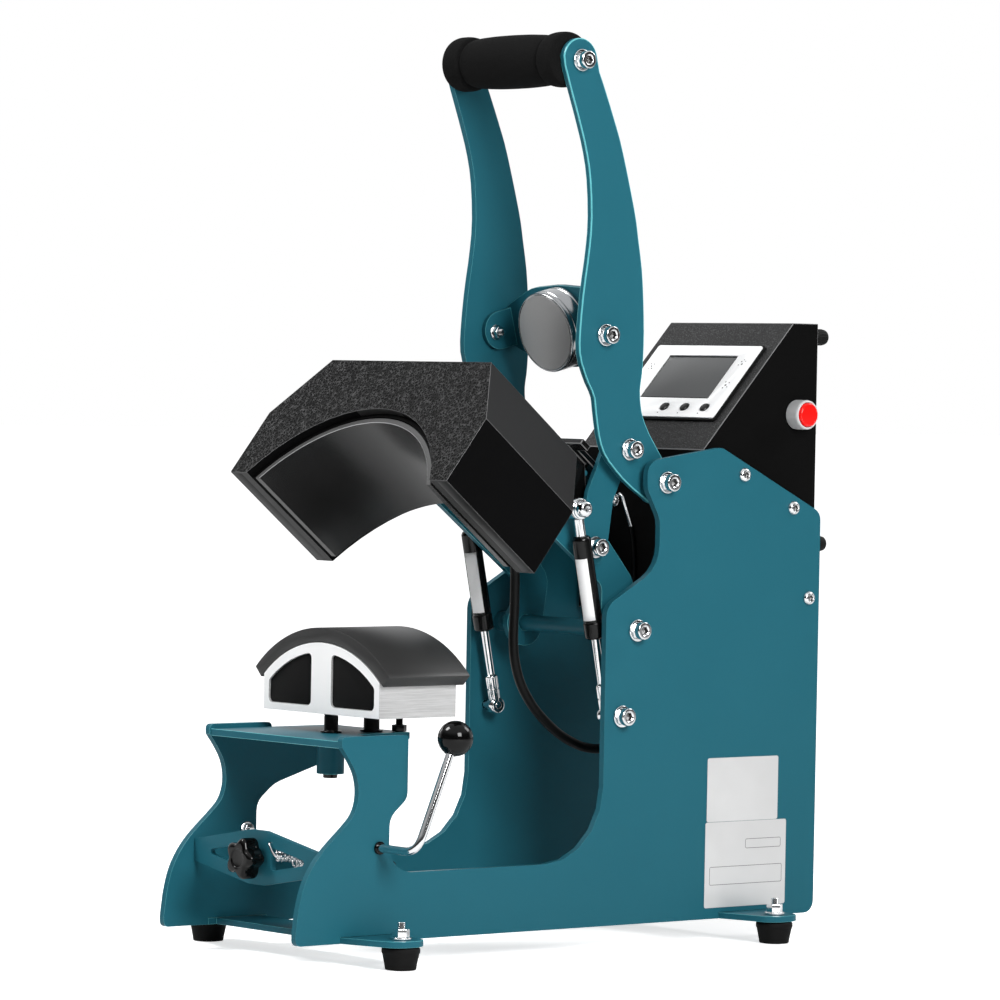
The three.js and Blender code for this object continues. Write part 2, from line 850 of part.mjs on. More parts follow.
// Ball lever: its shaft goes through the right plate, bends up outside it and ends in the ball.
function buildLever() {
  const lean = radians(leverTilt);
  const up = new THREE.Vector3(0, Math.sin(lean), Math.cos(lean));
  const corner = new THREE.Vector3(leverAcross, 0, 0);
  const before = corner.clone().addScaledVector(axisX, -leverBend);
  const after = corner.clone().addScaledVector(up, leverBend);
  const tip = corner.clone().addScaledVector(up, leverArm);
  const start = new THREE.Vector3(plateInner - leverInside, 0, 0);
  const points = [start, before];
  const bendSteps = 6;
  const bend = new THREE.QuadraticBezierCurve3(before, corner, after);
  points.push(...bend.getPoints(bendSteps).slice(1));
  points.push(tip);
  const lever = wire(points, leverRadius, roundSides / 2);
  add(frame, "lever_rod", lever, brightSteel, 0, leverDepth, leverHeight);

  const sphere = new THREE.SphereGeometry(ballRadius, roundSides, roundSides / 2);
  const depth = ballBore + ballRadius;
  const bore = rod(leverRadius + gap, depth).translate(0, gap - depth / 2, 0);
  const ball = made(sphere, [], [bore]);
  ball.rotateX(quarterTurn - lean);
  add(frame, "lever_ball", ball, blackPlastic, tip.x, leverDepth + tip.y, leverHeight + tip.z);
}

// Axle between the plates, on which the swing arms turn.
function buildAxle() {
  const axle = placed(rod(axleRadius, 2 * (plateInner - gap)), 0, 0, 0, true);
  add(frame, "swing_axle", axle, tealPaint);
}

// Socket bolt with washer, head to the outside, from an outer face to the inside.
function bolt(outerFace, innerEnd, shank) {
  const washerFace = outerFace + gap + washerThickness;
  const body = turned([
    [0, innerEnd],
    [shank, innerEnd],
    [shank, outerFace + gap],
    [washerRadius, outerFace + gap],
    [washerRadius, washerFace],
    [boltHeadRadius, washerFace],
    [boltHeadRadius, washerFace + boltHead],
    [0, washerFace + boltHead],
  ]);
  return body.rotateZ(-quarterTurn);
}

function buildPivotBolts() {
  for (const [word, side] of sides) {
    const turn = side > 0 ? 0 : Math.PI;
    const pivot = bolt(plateOuter, armInner - gap, boltRadius).rotateZ(turn);
    add(frame, `handle_pivot_bolt_${word}`, pivot, brightSteel, 0, ...handlePivot);
    const lower = bolt(plateOuter, gasAcross - gasEyeWidth / 2, studRadius).rotateZ(turn);
    add(frame, `gas_stud_lower_${word}`, lower, brightSteel, 0, ...gasFoot);
  }
}

// Swing arms, drawn as they stand at rest, between the axle, the platen's rear wall and the armature.
const tiltRad = radians(platenTilt);
const opened = (y, z) => [
  y * Math.cos(tiltRad) + z * Math.sin(tiltRad),
  -y * Math.sin(tiltRad) + z * Math.cos(tiltRad),
];

function swingArmOutline() {
  const wall = coverBack + gap;
  const [armFootY, armFootZ] = opened(wall, armFootRise);
  const [armHeadY, armHeadZ] = opened(wall, coverBottom + coverShoulder + armFootRise);
  const lobe = arc(0, 0, axleLobe, Math.PI * lobeShares[0], Math.PI * lobeShares[1]);
  const studLobe = 2 * studHeadRadius;
  return rounded([
    ...lobe.map(({ x, y }) => [x, y, 0]),
    [axleLobe + plateThickness, 2 * axleLobe, axleLobe],
    [linkFoot[0] + axleLobe, linkFoot[1] + swingThickness, axleLobe],
    [linkFoot[0], linkFoot[1] + axleLobe, axleLobe / 2],
    [gasHead[0] + studLobe, gasHead[1] + swingThickness, swingThickness],
    [gasHead[0] - studLobe / 2, gasHead[1] + studLobe, studLobe],
    [armHeadY + swingThickness, armHeadZ, swingThickness],
    [armHeadY, armHeadZ - swingThickness, 0],
    [armFootY, armFootZ, 0],
    [...armWaist, cornerRadius],
    [armWaist[0], waistFoot, lobeFillet],
  ]);
}

function buildSwingFrame() {
  for (const [word, side] of sides) {
    const holes = [
      arc(0, 0, axleRadius + gap),
      arc(...linkFoot, boltRadius + gap),
      arc(...gasHead, studRadius + gap),
    ];
    const arm = sheetAcross(swingArmOutline(), swingThickness, holes);
    add(frame, `swing_arm_${word}`, arm, tealPaint, nearX(side, swingInner, swingThickness));
    const turn = side > 0 ? 0 : Math.PI;
    const foot = bolt(linkOuter, swingInner, boltRadius).rotateZ(turn);
    add(frame, `link_bolt_${word}`, foot, brightSteel, 0, ...linkFoot);
    const eyeOuter = gasAcross + gasEyeWidth / 2;
    const head = turned([
      [0, swingInner],
      [studRadius, swingInner],
      [studRadius, eyeOuter + gap],
      [studHeadRadius, eyeOuter + gap],
      [studHeadRadius, eyeOuter + gap + washerThickness],
      [0, eyeOuter + gap + washerThickness],
    ]).rotateZ(-quarterTurn + turn);
    add(frame, `gas_stud_upper_${word}`, head, brightSteel, 0, ...gasHead);
  }
  // Armature: a flat steel plate on two cheeks that stand against the arms, wider along its front edge.
  const dy = armatureFrontEdge[0] - armatureBackEdge[0];
  const dz = armatureFrontEdge[1] - armatureBackEdge[1];
  const length = Math.hypot(dy, dz);
  const lean = Math.atan2(dz, -dy);
  const thick = armatureThickness - gap;
  const slab = (half, from, to) =>
    new THREE.BoxGeometry(2 * half, to - from, thick)
      .translate(0, (from + to) / 2, -thick / 2)
      .rotateX(-lean)
      .translate(0, ...armatureFrontEdge);
  const cheekInner = swingInner - gap - cheekThickness;
  const under = ([y, z]) => [y, z - armatureThickness, 0];
  const cheekPoints = vectors([
    under([armatureFrontEdge[0] - gap, armatureFrontEdge[1]]),
    [gasHead[0] - cheekThickness, gasHead[1] - cheekThickness],
    cheekFoot,
    under([armatureFrontEdge[0] - dy * cheekShare, armatureFrontEdge[1] - dz * cheekShare]),
  ]);
  const cheek = (side) =>
    sheetAcross(cheekPoints, cheekThickness).translate(nearX(side, cheekInner, cheekThickness), 0, 0);
  const armature = made(slab(swingOuter, 0, length), [
    slab(armInner - 4 * gap, 0, armatureWingDepth),
    cheek(1),
    cheek(-1),
  ]);
  add(frame, "armature", armature, blackPaint);
}

// Moves each edge of a convex outline, given in order, inwards by a distance.
function inset(corners, distances) {
  const count = corners.length;
  const lines = corners.map(([x, y], i) => {
    const [nextX, nextY] = corners[(i + 1) % count];
    const along = new THREE.Vector2(nextX - x, nextY - y).normalize();
    const inward = new THREE.Vector2(-along.y, along.x);
    const origin = new THREE.Vector2(x, y).addScaledVector(inward, distances[i]);
    return { origin, along };
  });
  return lines.map((line, i) => {
    const before = lines.at(i - 1);
    const offset = line.origin.clone().sub(before.origin);
    const reach = offset.cross(line.along) / before.along.cross(line.along);
    const point = before.origin.clone().addScaledVector(before.along, reach);
    return [point.x, point.y];
  });
}

// Platen: folded cover with an arch through it, insulation liner and curved heating shell.
function buildPlaten() {
  const depth = coverBack - coverFront;
  const bottom = coverBottom;
  const outer = [
    [-coverHalf, bottom],
    [coverHalf, bottom],
    [coverHalf, bottom + coverShoulder],
    [coverTopHalf, bottom + coverHeight],
    [-coverTopHalf, bottom + coverHeight],
    [-coverHalf, bottom + coverShoulder],
  ];
  const inner = vectors(inset(outer, [coverHem, coverWall, coverWall, coverWall, coverWall, coverWall]));
  const archSides = 3 * roundSides;
  const archRod = (radius, length) =>
    rod(radius, length, archSides).translate(0, (coverFront + coverBack) / 2, padCentre);
  const hollow = toSolid(blockForward(inner, depth - 2 * coverWall).translate(0, coverBack - coverWall, 0))
    .subtract(toSolid(archRod(coverArch + coverWall, depth)));
  const lead = rod(leadRadius + gap, 2 * coverWall + overrun)
    .translate(leadExit[0], coverBack, bottom + leadExit[1]);
  const shell = toSolid(blockForward(vectors(outer), depth).translate(0, coverBack, 0))
    .subtract(hollow)
    .subtract(toSolid(archRod(coverArch, depth + 2 * overrun)))
    .subtract(toSolid(lead));
  add(platen, "platen_cover", toGeometry(shell), blackPaint);

  const curved = (outerRadius, innerRadius) => {
    const half = (radius) => Math.acos((bottom - padCentre) / radius);
    const side = (radius) =>
      arc(0, padCentre, radius, quarterTurn - half(radius), quarterTurn + half(radius), fineSides);
    const points = [...side(outerRadius), ...side(innerRadius).reverse()];
    return blockForward(points, depth - 2 * shellRecess).translate(0, coverBack - shellRecess, 0);
  };
  add(platen, "insulation_liner", curved(linerOuter, shellOuter + gap), blackRubber);
  add(platen, "heating_shell", curved(shellOuter, shellInner), brushedAluminium);
}

// Links between swing arms and handle arms, bowed forward.
function buildLinks() {
  const dy = linkHead[0] - linkFoot[0];
  const dz = linkHead[1] - linkFoot[1];
  const length = Math.hypot(dy, dz);
  const lean = Math.atan2(dz, dy);
  const bow = [length / 2, linkBulge];
  const halfRing = (x, from) =>
    arc(x, 0, linkEye, from, from + Math.PI, roundSides / 2).map((point) => [point.x, point.y, 0]);
  const outlinePoints = vectors([
    ...halfRing(0, quarterTurn),
    [bow[0], bow[1] - linkEye],
    ...halfRing(length, -quarterTurn),
    [bow[0], bow[1] + linkEye],
  ]);
  for (const [word, side] of sides) {
    const link = sheetAcross(outlinePoints, linkThickness, [arc(0, 0, boltRadius + gap)]);
    link.rotateX(lean);
    add(frame, `link_${word}`, link, tealPaint, nearX(side, linkInner, linkThickness), ...linkFoot);
  }
}

// Handle arms: shares of the arm's own height above the handle pivot and of its width.
function handleArmOutline() {
  const rise = armTop[1] - handlePivot[1];
  const wide = handlePivot[0] - armTop[0];
  const frontShares = [
    [0.28, -0.016],
    [0.42, 0.011],
    [0.61, 0.059],
    [0.695, 0.105],
    [0.745, 0.17],
    [0.77, 0.205],
    [0.86, 0.245],
    [0.945, 0.3],
    [0.95, 0.36],
    [0.915, 0.455],
    [0.865, 0.54],
    [0.838, 0.62],
    [0.86, 0.718],
    [0.915, 0.788],
    [1.005, 0.858],
    [1.106, 0.928],
    [1.185, 0.985],
  ];
  const backShares = [
    [0.77, 0.975],
    [0.695, 0.933],
    [0.58, 0.863],
    [0.477, 0.793],
    [0.318, 0.651],
    [0.263, 0.58],
    [0.205, 0.49],
    [0.175, 0.36],
    [0.185, 0.27],
    [0.21, 0.215],
    [0.175, 0.16],
    [0.085, 0.115],
  ];
  const point = ([back, up]) =>
    new THREE.Vector2(handlePivot[0] - wide * back, handlePivot[1] + rise * up);
  const through = (shares) => new THREE.SplineCurve(shares.map(point)).getPoints(fineSides);
  const footShares = [-0.73, 0.3]; // of half a turn, where the round foot starts and stops
  const [footStart, footEnd] = footShares.map((share) => share * Math.PI);
  const foot = arc(...handlePivot, armTopRadius, footStart, footEnd).reverse();
  const crown = arc(...armTop, armTopRadius, 0, Math.PI).slice(1, -1).reverse();
  return [...foot, ...through(frontShares), ...crown, ...through(backShares)];
}

function buildHandle() {
  for (const [word, side] of sides) {
    const arm = sheetAcross(handleArmOutline(), armThickness, [arc(...handlePivot, boltRadius + gap)]);
    add(handle, `handle_arm_${word}`, arm, tealPaint, nearX(side, armInner, armThickness));
  }
  const reach = armInner - gap;
  const neck = reach - gripFlangeLength;
  const edge = gripFlangeLength / 5;
  const grip = turned([
    [0, -reach],
    [gripFlangeRadius - edge / 2, -reach],
    [gripFlangeRadius, -reach + edge],
    [gripFlangeRadius, -neck - edge],
    [gripNeckRadius, -neck],
    [gripMiddleRadius, -neck / 3],
    [gripMiddleRadius, neck / 3],
    [gripNeckRadius, neck],
    [gripFlangeRadius, neck + edge],
    [gripFlangeRadius, reach - edge],
    [gripFlangeRadius - edge / 2, reach],
    [0, reach],
  ]);
  add(handle, "handle_grip", grip.rotateZ(-quarterTurn), blackRubber, 0, gripDepth, gripHeight);

  // Magnet pot and its yoke, drawn with the face at the origin looking forward.
  const group = new THREE.Group();
  group.position.set(0, ...magnetFace);
  group.rotation.x = radians(magnetTilt);
  handle.add(group);
  const pot = turned([
    [0, 0],
    [magnetRadius, 0],
    [magnetPot, magnetLip],
    [magnetPot, magnetDepth],
    [0, magnetDepth],
  ]);
  add(group, "electromagnet", pot, brightSteel);
  const lens = rounded([
    [-reach, -yokeEndHalf, yokeThickness],
    [-reach / 2, -yokeHalfHeight * yokeShare, yokeHalfHeight],
    [0, -yokeHalfHeight, 2 * yokeHalfHeight],
    [reach / 2, -yokeHalfHeight * yokeShare, yokeHalfHeight],
    [reach, -yokeEndHalf, yokeThickness],
    [reach, yokeEndHalf, yokeThickness],
    [reach / 2, yokeHalfHeight * yokeShare, yokeHalfHeight],
    [0, yokeHalfHeight, 2 * yokeHalfHeight],
    [-reach / 2, yokeHalfHeight * yokeShare, yokeHalfHeight],
    [-reach, yokeEndHalf, yokeThickness],
  ]);
  const lensBack = magnetDepth + gap + yokeThickness;
  const ear = (side) => {
    const front = lensBack - yokeEar;
    const points = rounded([
      [lensBack, -yokeEarRadius, 0],
      [lensBack, yokeEarRadius, 0],
      [front, yokeEarRadius, yokeEarRadius],
      [front, -yokeEarRadius, yokeEarRadius],
    ]);
    const near = nearX(side, reach - yokeThickness, yokeThickness);
    return sheetAcross(points, yokeThickness).translate(near, 0, 0);
  };
  const yoke = made(blockForward(lens, yokeThickness).translate(0, lensBack, 0), [ear(1), ear(-1)]);
  add(group, "magnet_yoke", yoke, tealPaint);
}

// Gas springs: rod and ball socket below, cylinder and eye above, drawn upright from the lower stud.
function buildGasSprings() {
  const dy = gasHead[0] - gasFoot[0];
  const dz = gasHead[1] - gasFoot[1];
  const length = Math.hypot(dy, dz);
  const lean = Math.atan2(-dy, dz);
  const cylinderTop = length - gasNeck;
  const cylinderBottom = cylinderTop - gasCylinder;
  const rodShare = 0.35; // of the cylinder, filled by the rod when it is drawn out
  for (const [word, side] of sides) {
    const group = new THREE.Group();
    group.position.set(side * gasAcross, ...gasFoot);
    group.rotation.x = quarterTurn + lean;
    frame.add(group);
    const rodTop = cylinderBottom + gasCylinder * rodShare;
    const piston = made(
      turned([
        [0, gasSocketRadius / 2],
        [gasFerruleRadius, gasSocketRadius / 2],
        [gasFerruleRadius, gasFerrule],
        [gasRodRadius, gasFerrule],
        [gasRodRadius, rodTop],
        [0, rodTop],
      ]),
      [placed(rod(gasSocketRadius, gasEyeWidth), 0, 0, 0, true)],
      [placed(rod(gasSocketBore, gasEyeWidth + overrun), 0, 0, 0, true)],
    );
    add(group, `gas_rod_${word}`, piston, brightSteel);
    const tube = made(
      turned([
        [0, cylinderBottom],
        [gasRadius - gap, cylinderBottom],
        [gasRadius, cylinderBottom + gasRadius / 4],
        [gasRadius, cylinderTop - gasRadius / 4],
        [gasRadius - gap, cylinderTop],
        [gasNeckRadius, cylinderTop],
        [gasNeckRadius, length - gasEyeRadius / 2],
        [0, length - gasEyeRadius / 2],
      ]),
      [placed(rod(gasEyeRadius, gasEyeWidth), 0, length, 0, true)],
      [
        placed(rod(gasEyeBore, gasEyeWidth + overrun), 0, length, 0, true),
        rod(gasRodRadius + gap, gasCylinder - gasRadius)
          .translate(0, cylinderBottom - overrun + (gasCylinder - gasRadius) / 2, 0),
      ],
    );
    add(group, `gas_cylinder_${word}`, tube, blackPaint);
  }
}

// Control box: folded case open at the rear, with the rear panel in it.
function buildBox() {
  const profile = [
    [boxFront, boxBottom],
    [boxBack, boxBottom],
    [boxBack, boxTop],
    [boxTopFront, boxTop],
    [boxFront, boxSillHeight],
  ];
  const cavity = inset(profile, [boxWall, -overrun, boxWall, boxWall, boxWall]);
  const walls = sheetAcross(vectors(profile), 2 * boxHalf).translate(-boxHalf, 0, 0);
  const hollow = sheetAcross(vectors(cavity), 2 * (boxHalf - boxWall)).translate(-boxHalf + boxWall, 0, 0);
  const inlet = rod(leadRadius + gap, overrun * 2 + boxWall)
    .rotateX(quarterTurn)
    .translate(leadRoute[0][0], leadRoute.at(-1)[1], boxBottom);
  const bosses = [-1, 1].flatMap((side) =>
    boxBosses.map(([y, z]) => {
      const length = plateInner - gap - boxHalf + boxWall;
      const middle = side * (boxHalf - boxWall + length / 2);
      return placed(rod(boxBossRadius, length), middle, y, z, true);
    }),
  );
  add(box, "box_case", made(walls, bosses, [hollow, inlet]), blackPaint);
  const inside = boxHalf - boxWall - gap;
  const low = boxBottom + boxWall + gap;
  const high = boxTop - boxWall - gap;
  const panel = blockForward(
    vectors([
      [-inside, low],
      [inside, low],
      [inside, high],
      [-inside, high],
    ]),
    boxWall,
  );
  add(box, "rear_panel", panel, blackPaint, 0, boxBack);

  const fuse = turned([
    [0, 0],
    [fuseRadius, 0],
    [fuseRadius, fuseFlange],
    [fuseCapRadius, fuseFlange],
    [fuseCapRadius, fuseReach],
    [0, fuseReach],
  ]);
  const fuseAcross = boxHalf - fuseInset[0];
  add(box, "fuse_holder", fuse, blackPlastic, fuseAcross, boxBack + gap, boxTop - fuseInset[1]);
  const gland = made(
    turned([
      [0, 0],
      [glandRadius, 0],
      [glandRadius, glandReach / 2],
      [glandNeckRadius, glandReach],
      [0, glandReach],
    ]),
    [],
    [rod(glandBore, glandReach).translate(0, glandReach, 0)],
  );
  const glandAcross = boxHalf - glandInset[0];
  add(box, "cable_gland", gland, blackPlastic, glandAcross, boxBack + gap, boxBottom + glandInset[1]);

  // Stop button on the right side of the box: the cap slides in the bezel's bore.
  const bezel = turned([
    [0, 0],
    [bezelRadius, 0],
    [bezelRadius, bezelLength],
    [bezelBore, bezelLength],
    [bezelBore, bezelFloor],
    [0, bezelFloor],
  ]);
  add(box, "stop_bezel", bezel.rotateZ(-quarterTurn), whitePlastic, boxHalf + gap, ...stopCentre);
  const capStart = bezelFloor + capTravel + gap;
  const cap = turned([
    [0, capStart],
    [capRadius, capStart],
    [capRadius, capReach - capRadius / 4],
    [capRadius * capShare, capReach],
    [0, capReach],
  ]);
  add(box, "stop_button", cap.rotateZ(-quarterTurn), redPlastic, boxHalf + gap, ...stopCentre);
}

// Display on the slanted face: local X across, local Y up the slope, local Z out of it.
function buildDisplay() {
  const slope = Math.atan2(boxTop - boxSillHeight, boxTopFront - boxFront);
  const face = new THREE.Group();
  face.position.set(0, boxTopFront, boxTop);
  face.rotation.x = slope;
  box.add(face);
  const pane = (half, near, far, radius) =>
    rounded([
      [-half, -far, radius],
      [half, -far, radius],
      [half, -near, radius],
      [-half, -near, radius],
    ]);
  const keyPlaces = Array.from({ length: keyCount }, (_, k) => keyFirst + keyStep * k);
  const oval = (x, grow) => {
    const radius = keyHalfHeight + grow;
    const run = keyHalfWidth - keyHalfHeight;
    return [
      ...arc(x + run, -keyDown, radius, -quarterTurn, quarterTurn, roundSides / 2),
      ...arc(x - run, -keyDown, radius, quarterTurn, 3 * quarterTurn, roundSides / 2),
    ];
  };
  const panel = extruded(pane(panelHalf, panelNear, panelFar, panelRadius), panelThickness, [
    pane(screenHalf, screenNear, screenFar, screenRadius),
    ...keyPlaces.map((x) => oval(x, gap)),
  ]);
  add(face, "display_panel", panel, whitePlastic, 0, 0, gap);
  const screen = extruded(
    pane(screenHalf - gap, screenNear + gap, screenFar - gap, screenRadius),
    screenThickness,
  );
  add(face, "display_screen", screen, screenGrey, 0, 0, gap);
  keyPlaces.forEach((x, i) => {
    const key = extruded(oval(x, 0), keyTop - keyTravel - gap);
    add(face, `panel_button_${i + 1}`, key, blackPlastic, 0, 0, keyTravel + 2 * gap);
  });

  const under = -boxWall - gap;
  const card = extruded(pane(boardHalf, boardNear, boardFar, panelRadius), boardThickness)
    .translate(0, 0, under - standoff - boardThickness);
  const inward = standoffRadius * 2;
  const posts = [-1, 1].flatMap((side) =>
    [boardNear + inward, boardFar - inward].map((down) =>
      rod(standoffRadius, standoff + boardThickness / 2)
        .rotateX(quarterTurn)
        .translate(side * (boardHalf - inward), -down, under - (standoff + boardThickness / 2) / 2),
    ),
  );
  add(face, "controller_board", made(card, posts), boardGreen);
}

// Heater lead, one smooth curve through its route.
function buildLead() {
  const curve = new THREE.CatmullRomCurve3(leadRoute.map((point) => new THREE.Vector3(...point)));
  const lead = wire(curve.getSpacedPoints(leadSteps), leadRadius, leadSides);
  add(frame, "platen_lead", lead, blackRubber);
}

buildSidePlates();
buildBase();
buildShelf();
buildBlock();
buildPressureBracket();
buildSprings();
buildLever();
buildAxle();
buildPivotBolts();
buildSwingFrame();
buildPlaten();
buildLinks();
buildHandle();
buildGasSprings();
buildBox();
buildDisplay();
buildLead();

// The origin is under the middle of the press, on the surface it stands on.
press.updateMatrixWorld(true);
const extent = new THREE.Box3().setFromObject(press, true);
const middle = extent.getCenter(new THREE.Vector3());
for (const group of press.children) {
  group.position.set(-middle.x, -middle.y, -extent.min.z);
}

export default press;
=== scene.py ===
"""A cap heat press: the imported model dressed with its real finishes, in a plain pale studio."""
import json
import logging
import math
from dataclasses import dataclass, field
from enum import Enum
from typing import Callable, Iterable, Optional, Sequence

import bmesh
import bpy
from mathutils import Matrix, Vector

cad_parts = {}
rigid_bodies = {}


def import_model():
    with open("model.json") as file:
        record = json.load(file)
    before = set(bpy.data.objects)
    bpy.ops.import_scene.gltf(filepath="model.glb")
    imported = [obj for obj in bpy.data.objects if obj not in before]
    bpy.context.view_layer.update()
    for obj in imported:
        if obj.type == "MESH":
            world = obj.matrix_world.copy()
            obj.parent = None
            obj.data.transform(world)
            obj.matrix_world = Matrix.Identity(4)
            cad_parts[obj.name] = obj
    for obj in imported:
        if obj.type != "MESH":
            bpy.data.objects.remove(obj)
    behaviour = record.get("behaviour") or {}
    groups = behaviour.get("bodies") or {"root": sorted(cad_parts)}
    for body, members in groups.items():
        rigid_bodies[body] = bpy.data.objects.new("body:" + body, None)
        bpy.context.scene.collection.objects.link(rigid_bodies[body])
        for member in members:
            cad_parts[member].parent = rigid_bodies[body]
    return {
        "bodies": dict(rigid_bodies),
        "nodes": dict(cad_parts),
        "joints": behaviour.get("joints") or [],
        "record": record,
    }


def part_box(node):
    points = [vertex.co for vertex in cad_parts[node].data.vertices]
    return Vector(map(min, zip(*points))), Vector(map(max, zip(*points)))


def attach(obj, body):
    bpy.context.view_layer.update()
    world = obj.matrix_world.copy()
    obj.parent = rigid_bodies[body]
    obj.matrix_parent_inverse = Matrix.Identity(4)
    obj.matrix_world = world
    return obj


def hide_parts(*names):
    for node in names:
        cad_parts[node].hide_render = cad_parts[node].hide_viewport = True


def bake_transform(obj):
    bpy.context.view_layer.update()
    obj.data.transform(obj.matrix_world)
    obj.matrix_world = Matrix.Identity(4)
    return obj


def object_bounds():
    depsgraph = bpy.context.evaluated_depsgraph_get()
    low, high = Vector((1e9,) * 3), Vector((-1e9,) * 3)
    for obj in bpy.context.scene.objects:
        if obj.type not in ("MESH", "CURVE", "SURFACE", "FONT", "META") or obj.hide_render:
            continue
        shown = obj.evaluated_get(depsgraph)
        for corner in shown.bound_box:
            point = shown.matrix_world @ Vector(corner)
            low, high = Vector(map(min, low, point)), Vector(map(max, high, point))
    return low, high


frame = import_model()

LOG = logging.getLogger("heat_press")
CAD_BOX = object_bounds()

MM = 0.001
PAIR = ((1, "right"), (-1, "left"))
Colour = tuple[float, float, float]
Profile = Sequence[tuple[float, ...]]
Span = tuple[float, float]
Outline = Sequence[Span]
Reshape = Callable[[float, float, float], float]
ANY: Span = (-math.inf, math.inf)


def centre_of(node: str) -> Vector:
    """Gives the middle of a CAD node's box.

    Args:
        node: the node's name.

    Returns:
        The middle, in metres, in the row frame.
    """
    low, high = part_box(node)
    return (Vector(low) + Vector(high)) / 2


AXLE = centre_of("swing_axle")
PLATE_FACE = 79.0
ARCH_CENTRE = -108.6
BOX_TOP = (159.3, 225.9)
BOX_SILL = (71.3, 131.2)
BOX_SLOPE = math.atan2(BOX_TOP[1] - BOX_SILL[1], BOX_TOP[0] - BOX_SILL[0])
TILT = math.radians(next(j for j in frame["joints"] if j["name"] == "platen_swing")["range_deg"][1])


def at(x: float, y: float, z: float) -> Vector:
    """Gives the place of a point that is measured from the axle.

    Args:
        x: millimetres to the right of the middle plane.
        y: millimetres behind the axle.
        z: millimetres above the axle.

    Returns:
        The place in the row frame, in metres.
    """
    return AXLE + Vector((x, y, z)) * MM


def pivot_of(joint: str) -> Vector:
    """Gives the place of a hinge.

    Args:
        joint: the joint's name in the record.

    Returns:
        A point on its axis, in metres, with the middle plane's X.
    """
    place = Vector(next(j for j in frame["joints"] if j["name"] == joint)["pos_m"])
    place.x = AXLE.x
    return place


class Pattern(Enum):
    """What the small relief of a finish looks like."""

    SMOOTH = "smooth"
    ORANGE_PEEL = "orange peel"
    WRINKLE = "wrinkle"
    SPECKLE = "speckle"
    BRUSHED = "brushed"
    FOAM = "foam"


def new_group(name: str, inputs: dict[str, float], outputs: Sequence[str]) -> bpy.types.NodeTree:
    """Makes an empty shader node group.

    Args:
        name: the group's name.
        inputs: each input's name and value.
        outputs: the names of the outputs.

    Returns:
        The group, with its input and output nodes in place.
    """
    group = bpy.data.node_groups.new(name, "ShaderNodeTree")
    for label, value in inputs.items():
        socket = group.interface.new_socket(label, in_out="INPUT", socket_type="NodeSocketFloat")
        socket.default_value = value
    for label in outputs:
        group.interface.new_socket(label, in_out="OUTPUT", socket_type="NodeSocketFloat")
    group.nodes.new("NodeGroupInput").name = "in"
    group.nodes.new("NodeGroupOutput").name = "out"
    return group


def maths(tree: bpy.types.NodeTree, operation: str, a: object, b: object) -> bpy.types.NodeSocket:
    """Adds a maths node.

    Args:
        tree: the tree that gets it.
        operation: Blender's name of the operation.
        a: the first value, a socket or a number.
        b: the second value, a socket or a number.

    Returns:
        The result's socket.
    """
    node = tree.nodes.new("ShaderNodeMath")
    node.operation = operation
    for index, value in enumerate((a, b)):
        if isinstance(value, (int, float)):
            node.inputs[index].default_value = value
        else:
            tree.links.new(value, node.inputs[index])
    return node.outputs[0]


def noise(tree: bpy.types.NodeTree, vector: bpy.types.NodeSocket, scale: object, detail: float,
          roughness: float = 0.5) -> bpy.types.NodeSocket:
    """Adds a noise texture.

    Args:
        tree: the tree that gets it.
        vector: the coordinates.
        scale: the scale, a socket or a number.
        detail: octaves.
        roughness: how strong the fine octaves are.

    Returns:
        The socket of its value.
    """
    node = tree.nodes.new("ShaderNodeTexNoise")
    tree.links.new(vector, node.inputs["Vector"])
    if isinstance(scale, (int, float)):
        node.inputs["Scale"].default_value = scale
    else:
        tree.links.new(scale, node.inputs["Scale"])
    node.inputs["Detail"].default_value = detail
    node.inputs["Roughness"].default_value = roughness
    return node.outputs["Fac"]


def ranged(tree: bpy.types.NodeTree, value: bpy.types.NodeSocket, low: float, high: float, start: float,
           end: float) -> bpy.types.NodeSocket:
    """Adds a smooth step from one value to another.

    Args:
        tree: the tree that gets it.
        value: what is looked at.
        low: where the step starts.
        high: where it ends.
        start: the result up to low.
        end: the result from high on.

    Returns:
        The result's socket.
    """
    node = tree.nodes.new("ShaderNodeMapRange")
    node.interpolation_type = "SMOOTHSTEP"
    tree.links.new(value, node.inputs["Value"])
    for label, number in zip(("From Min", "From Max", "To Min", "To Max"), (low, high, start, end)):
        node.inputs[label].default_value = number
    return node.outputs["Result"]


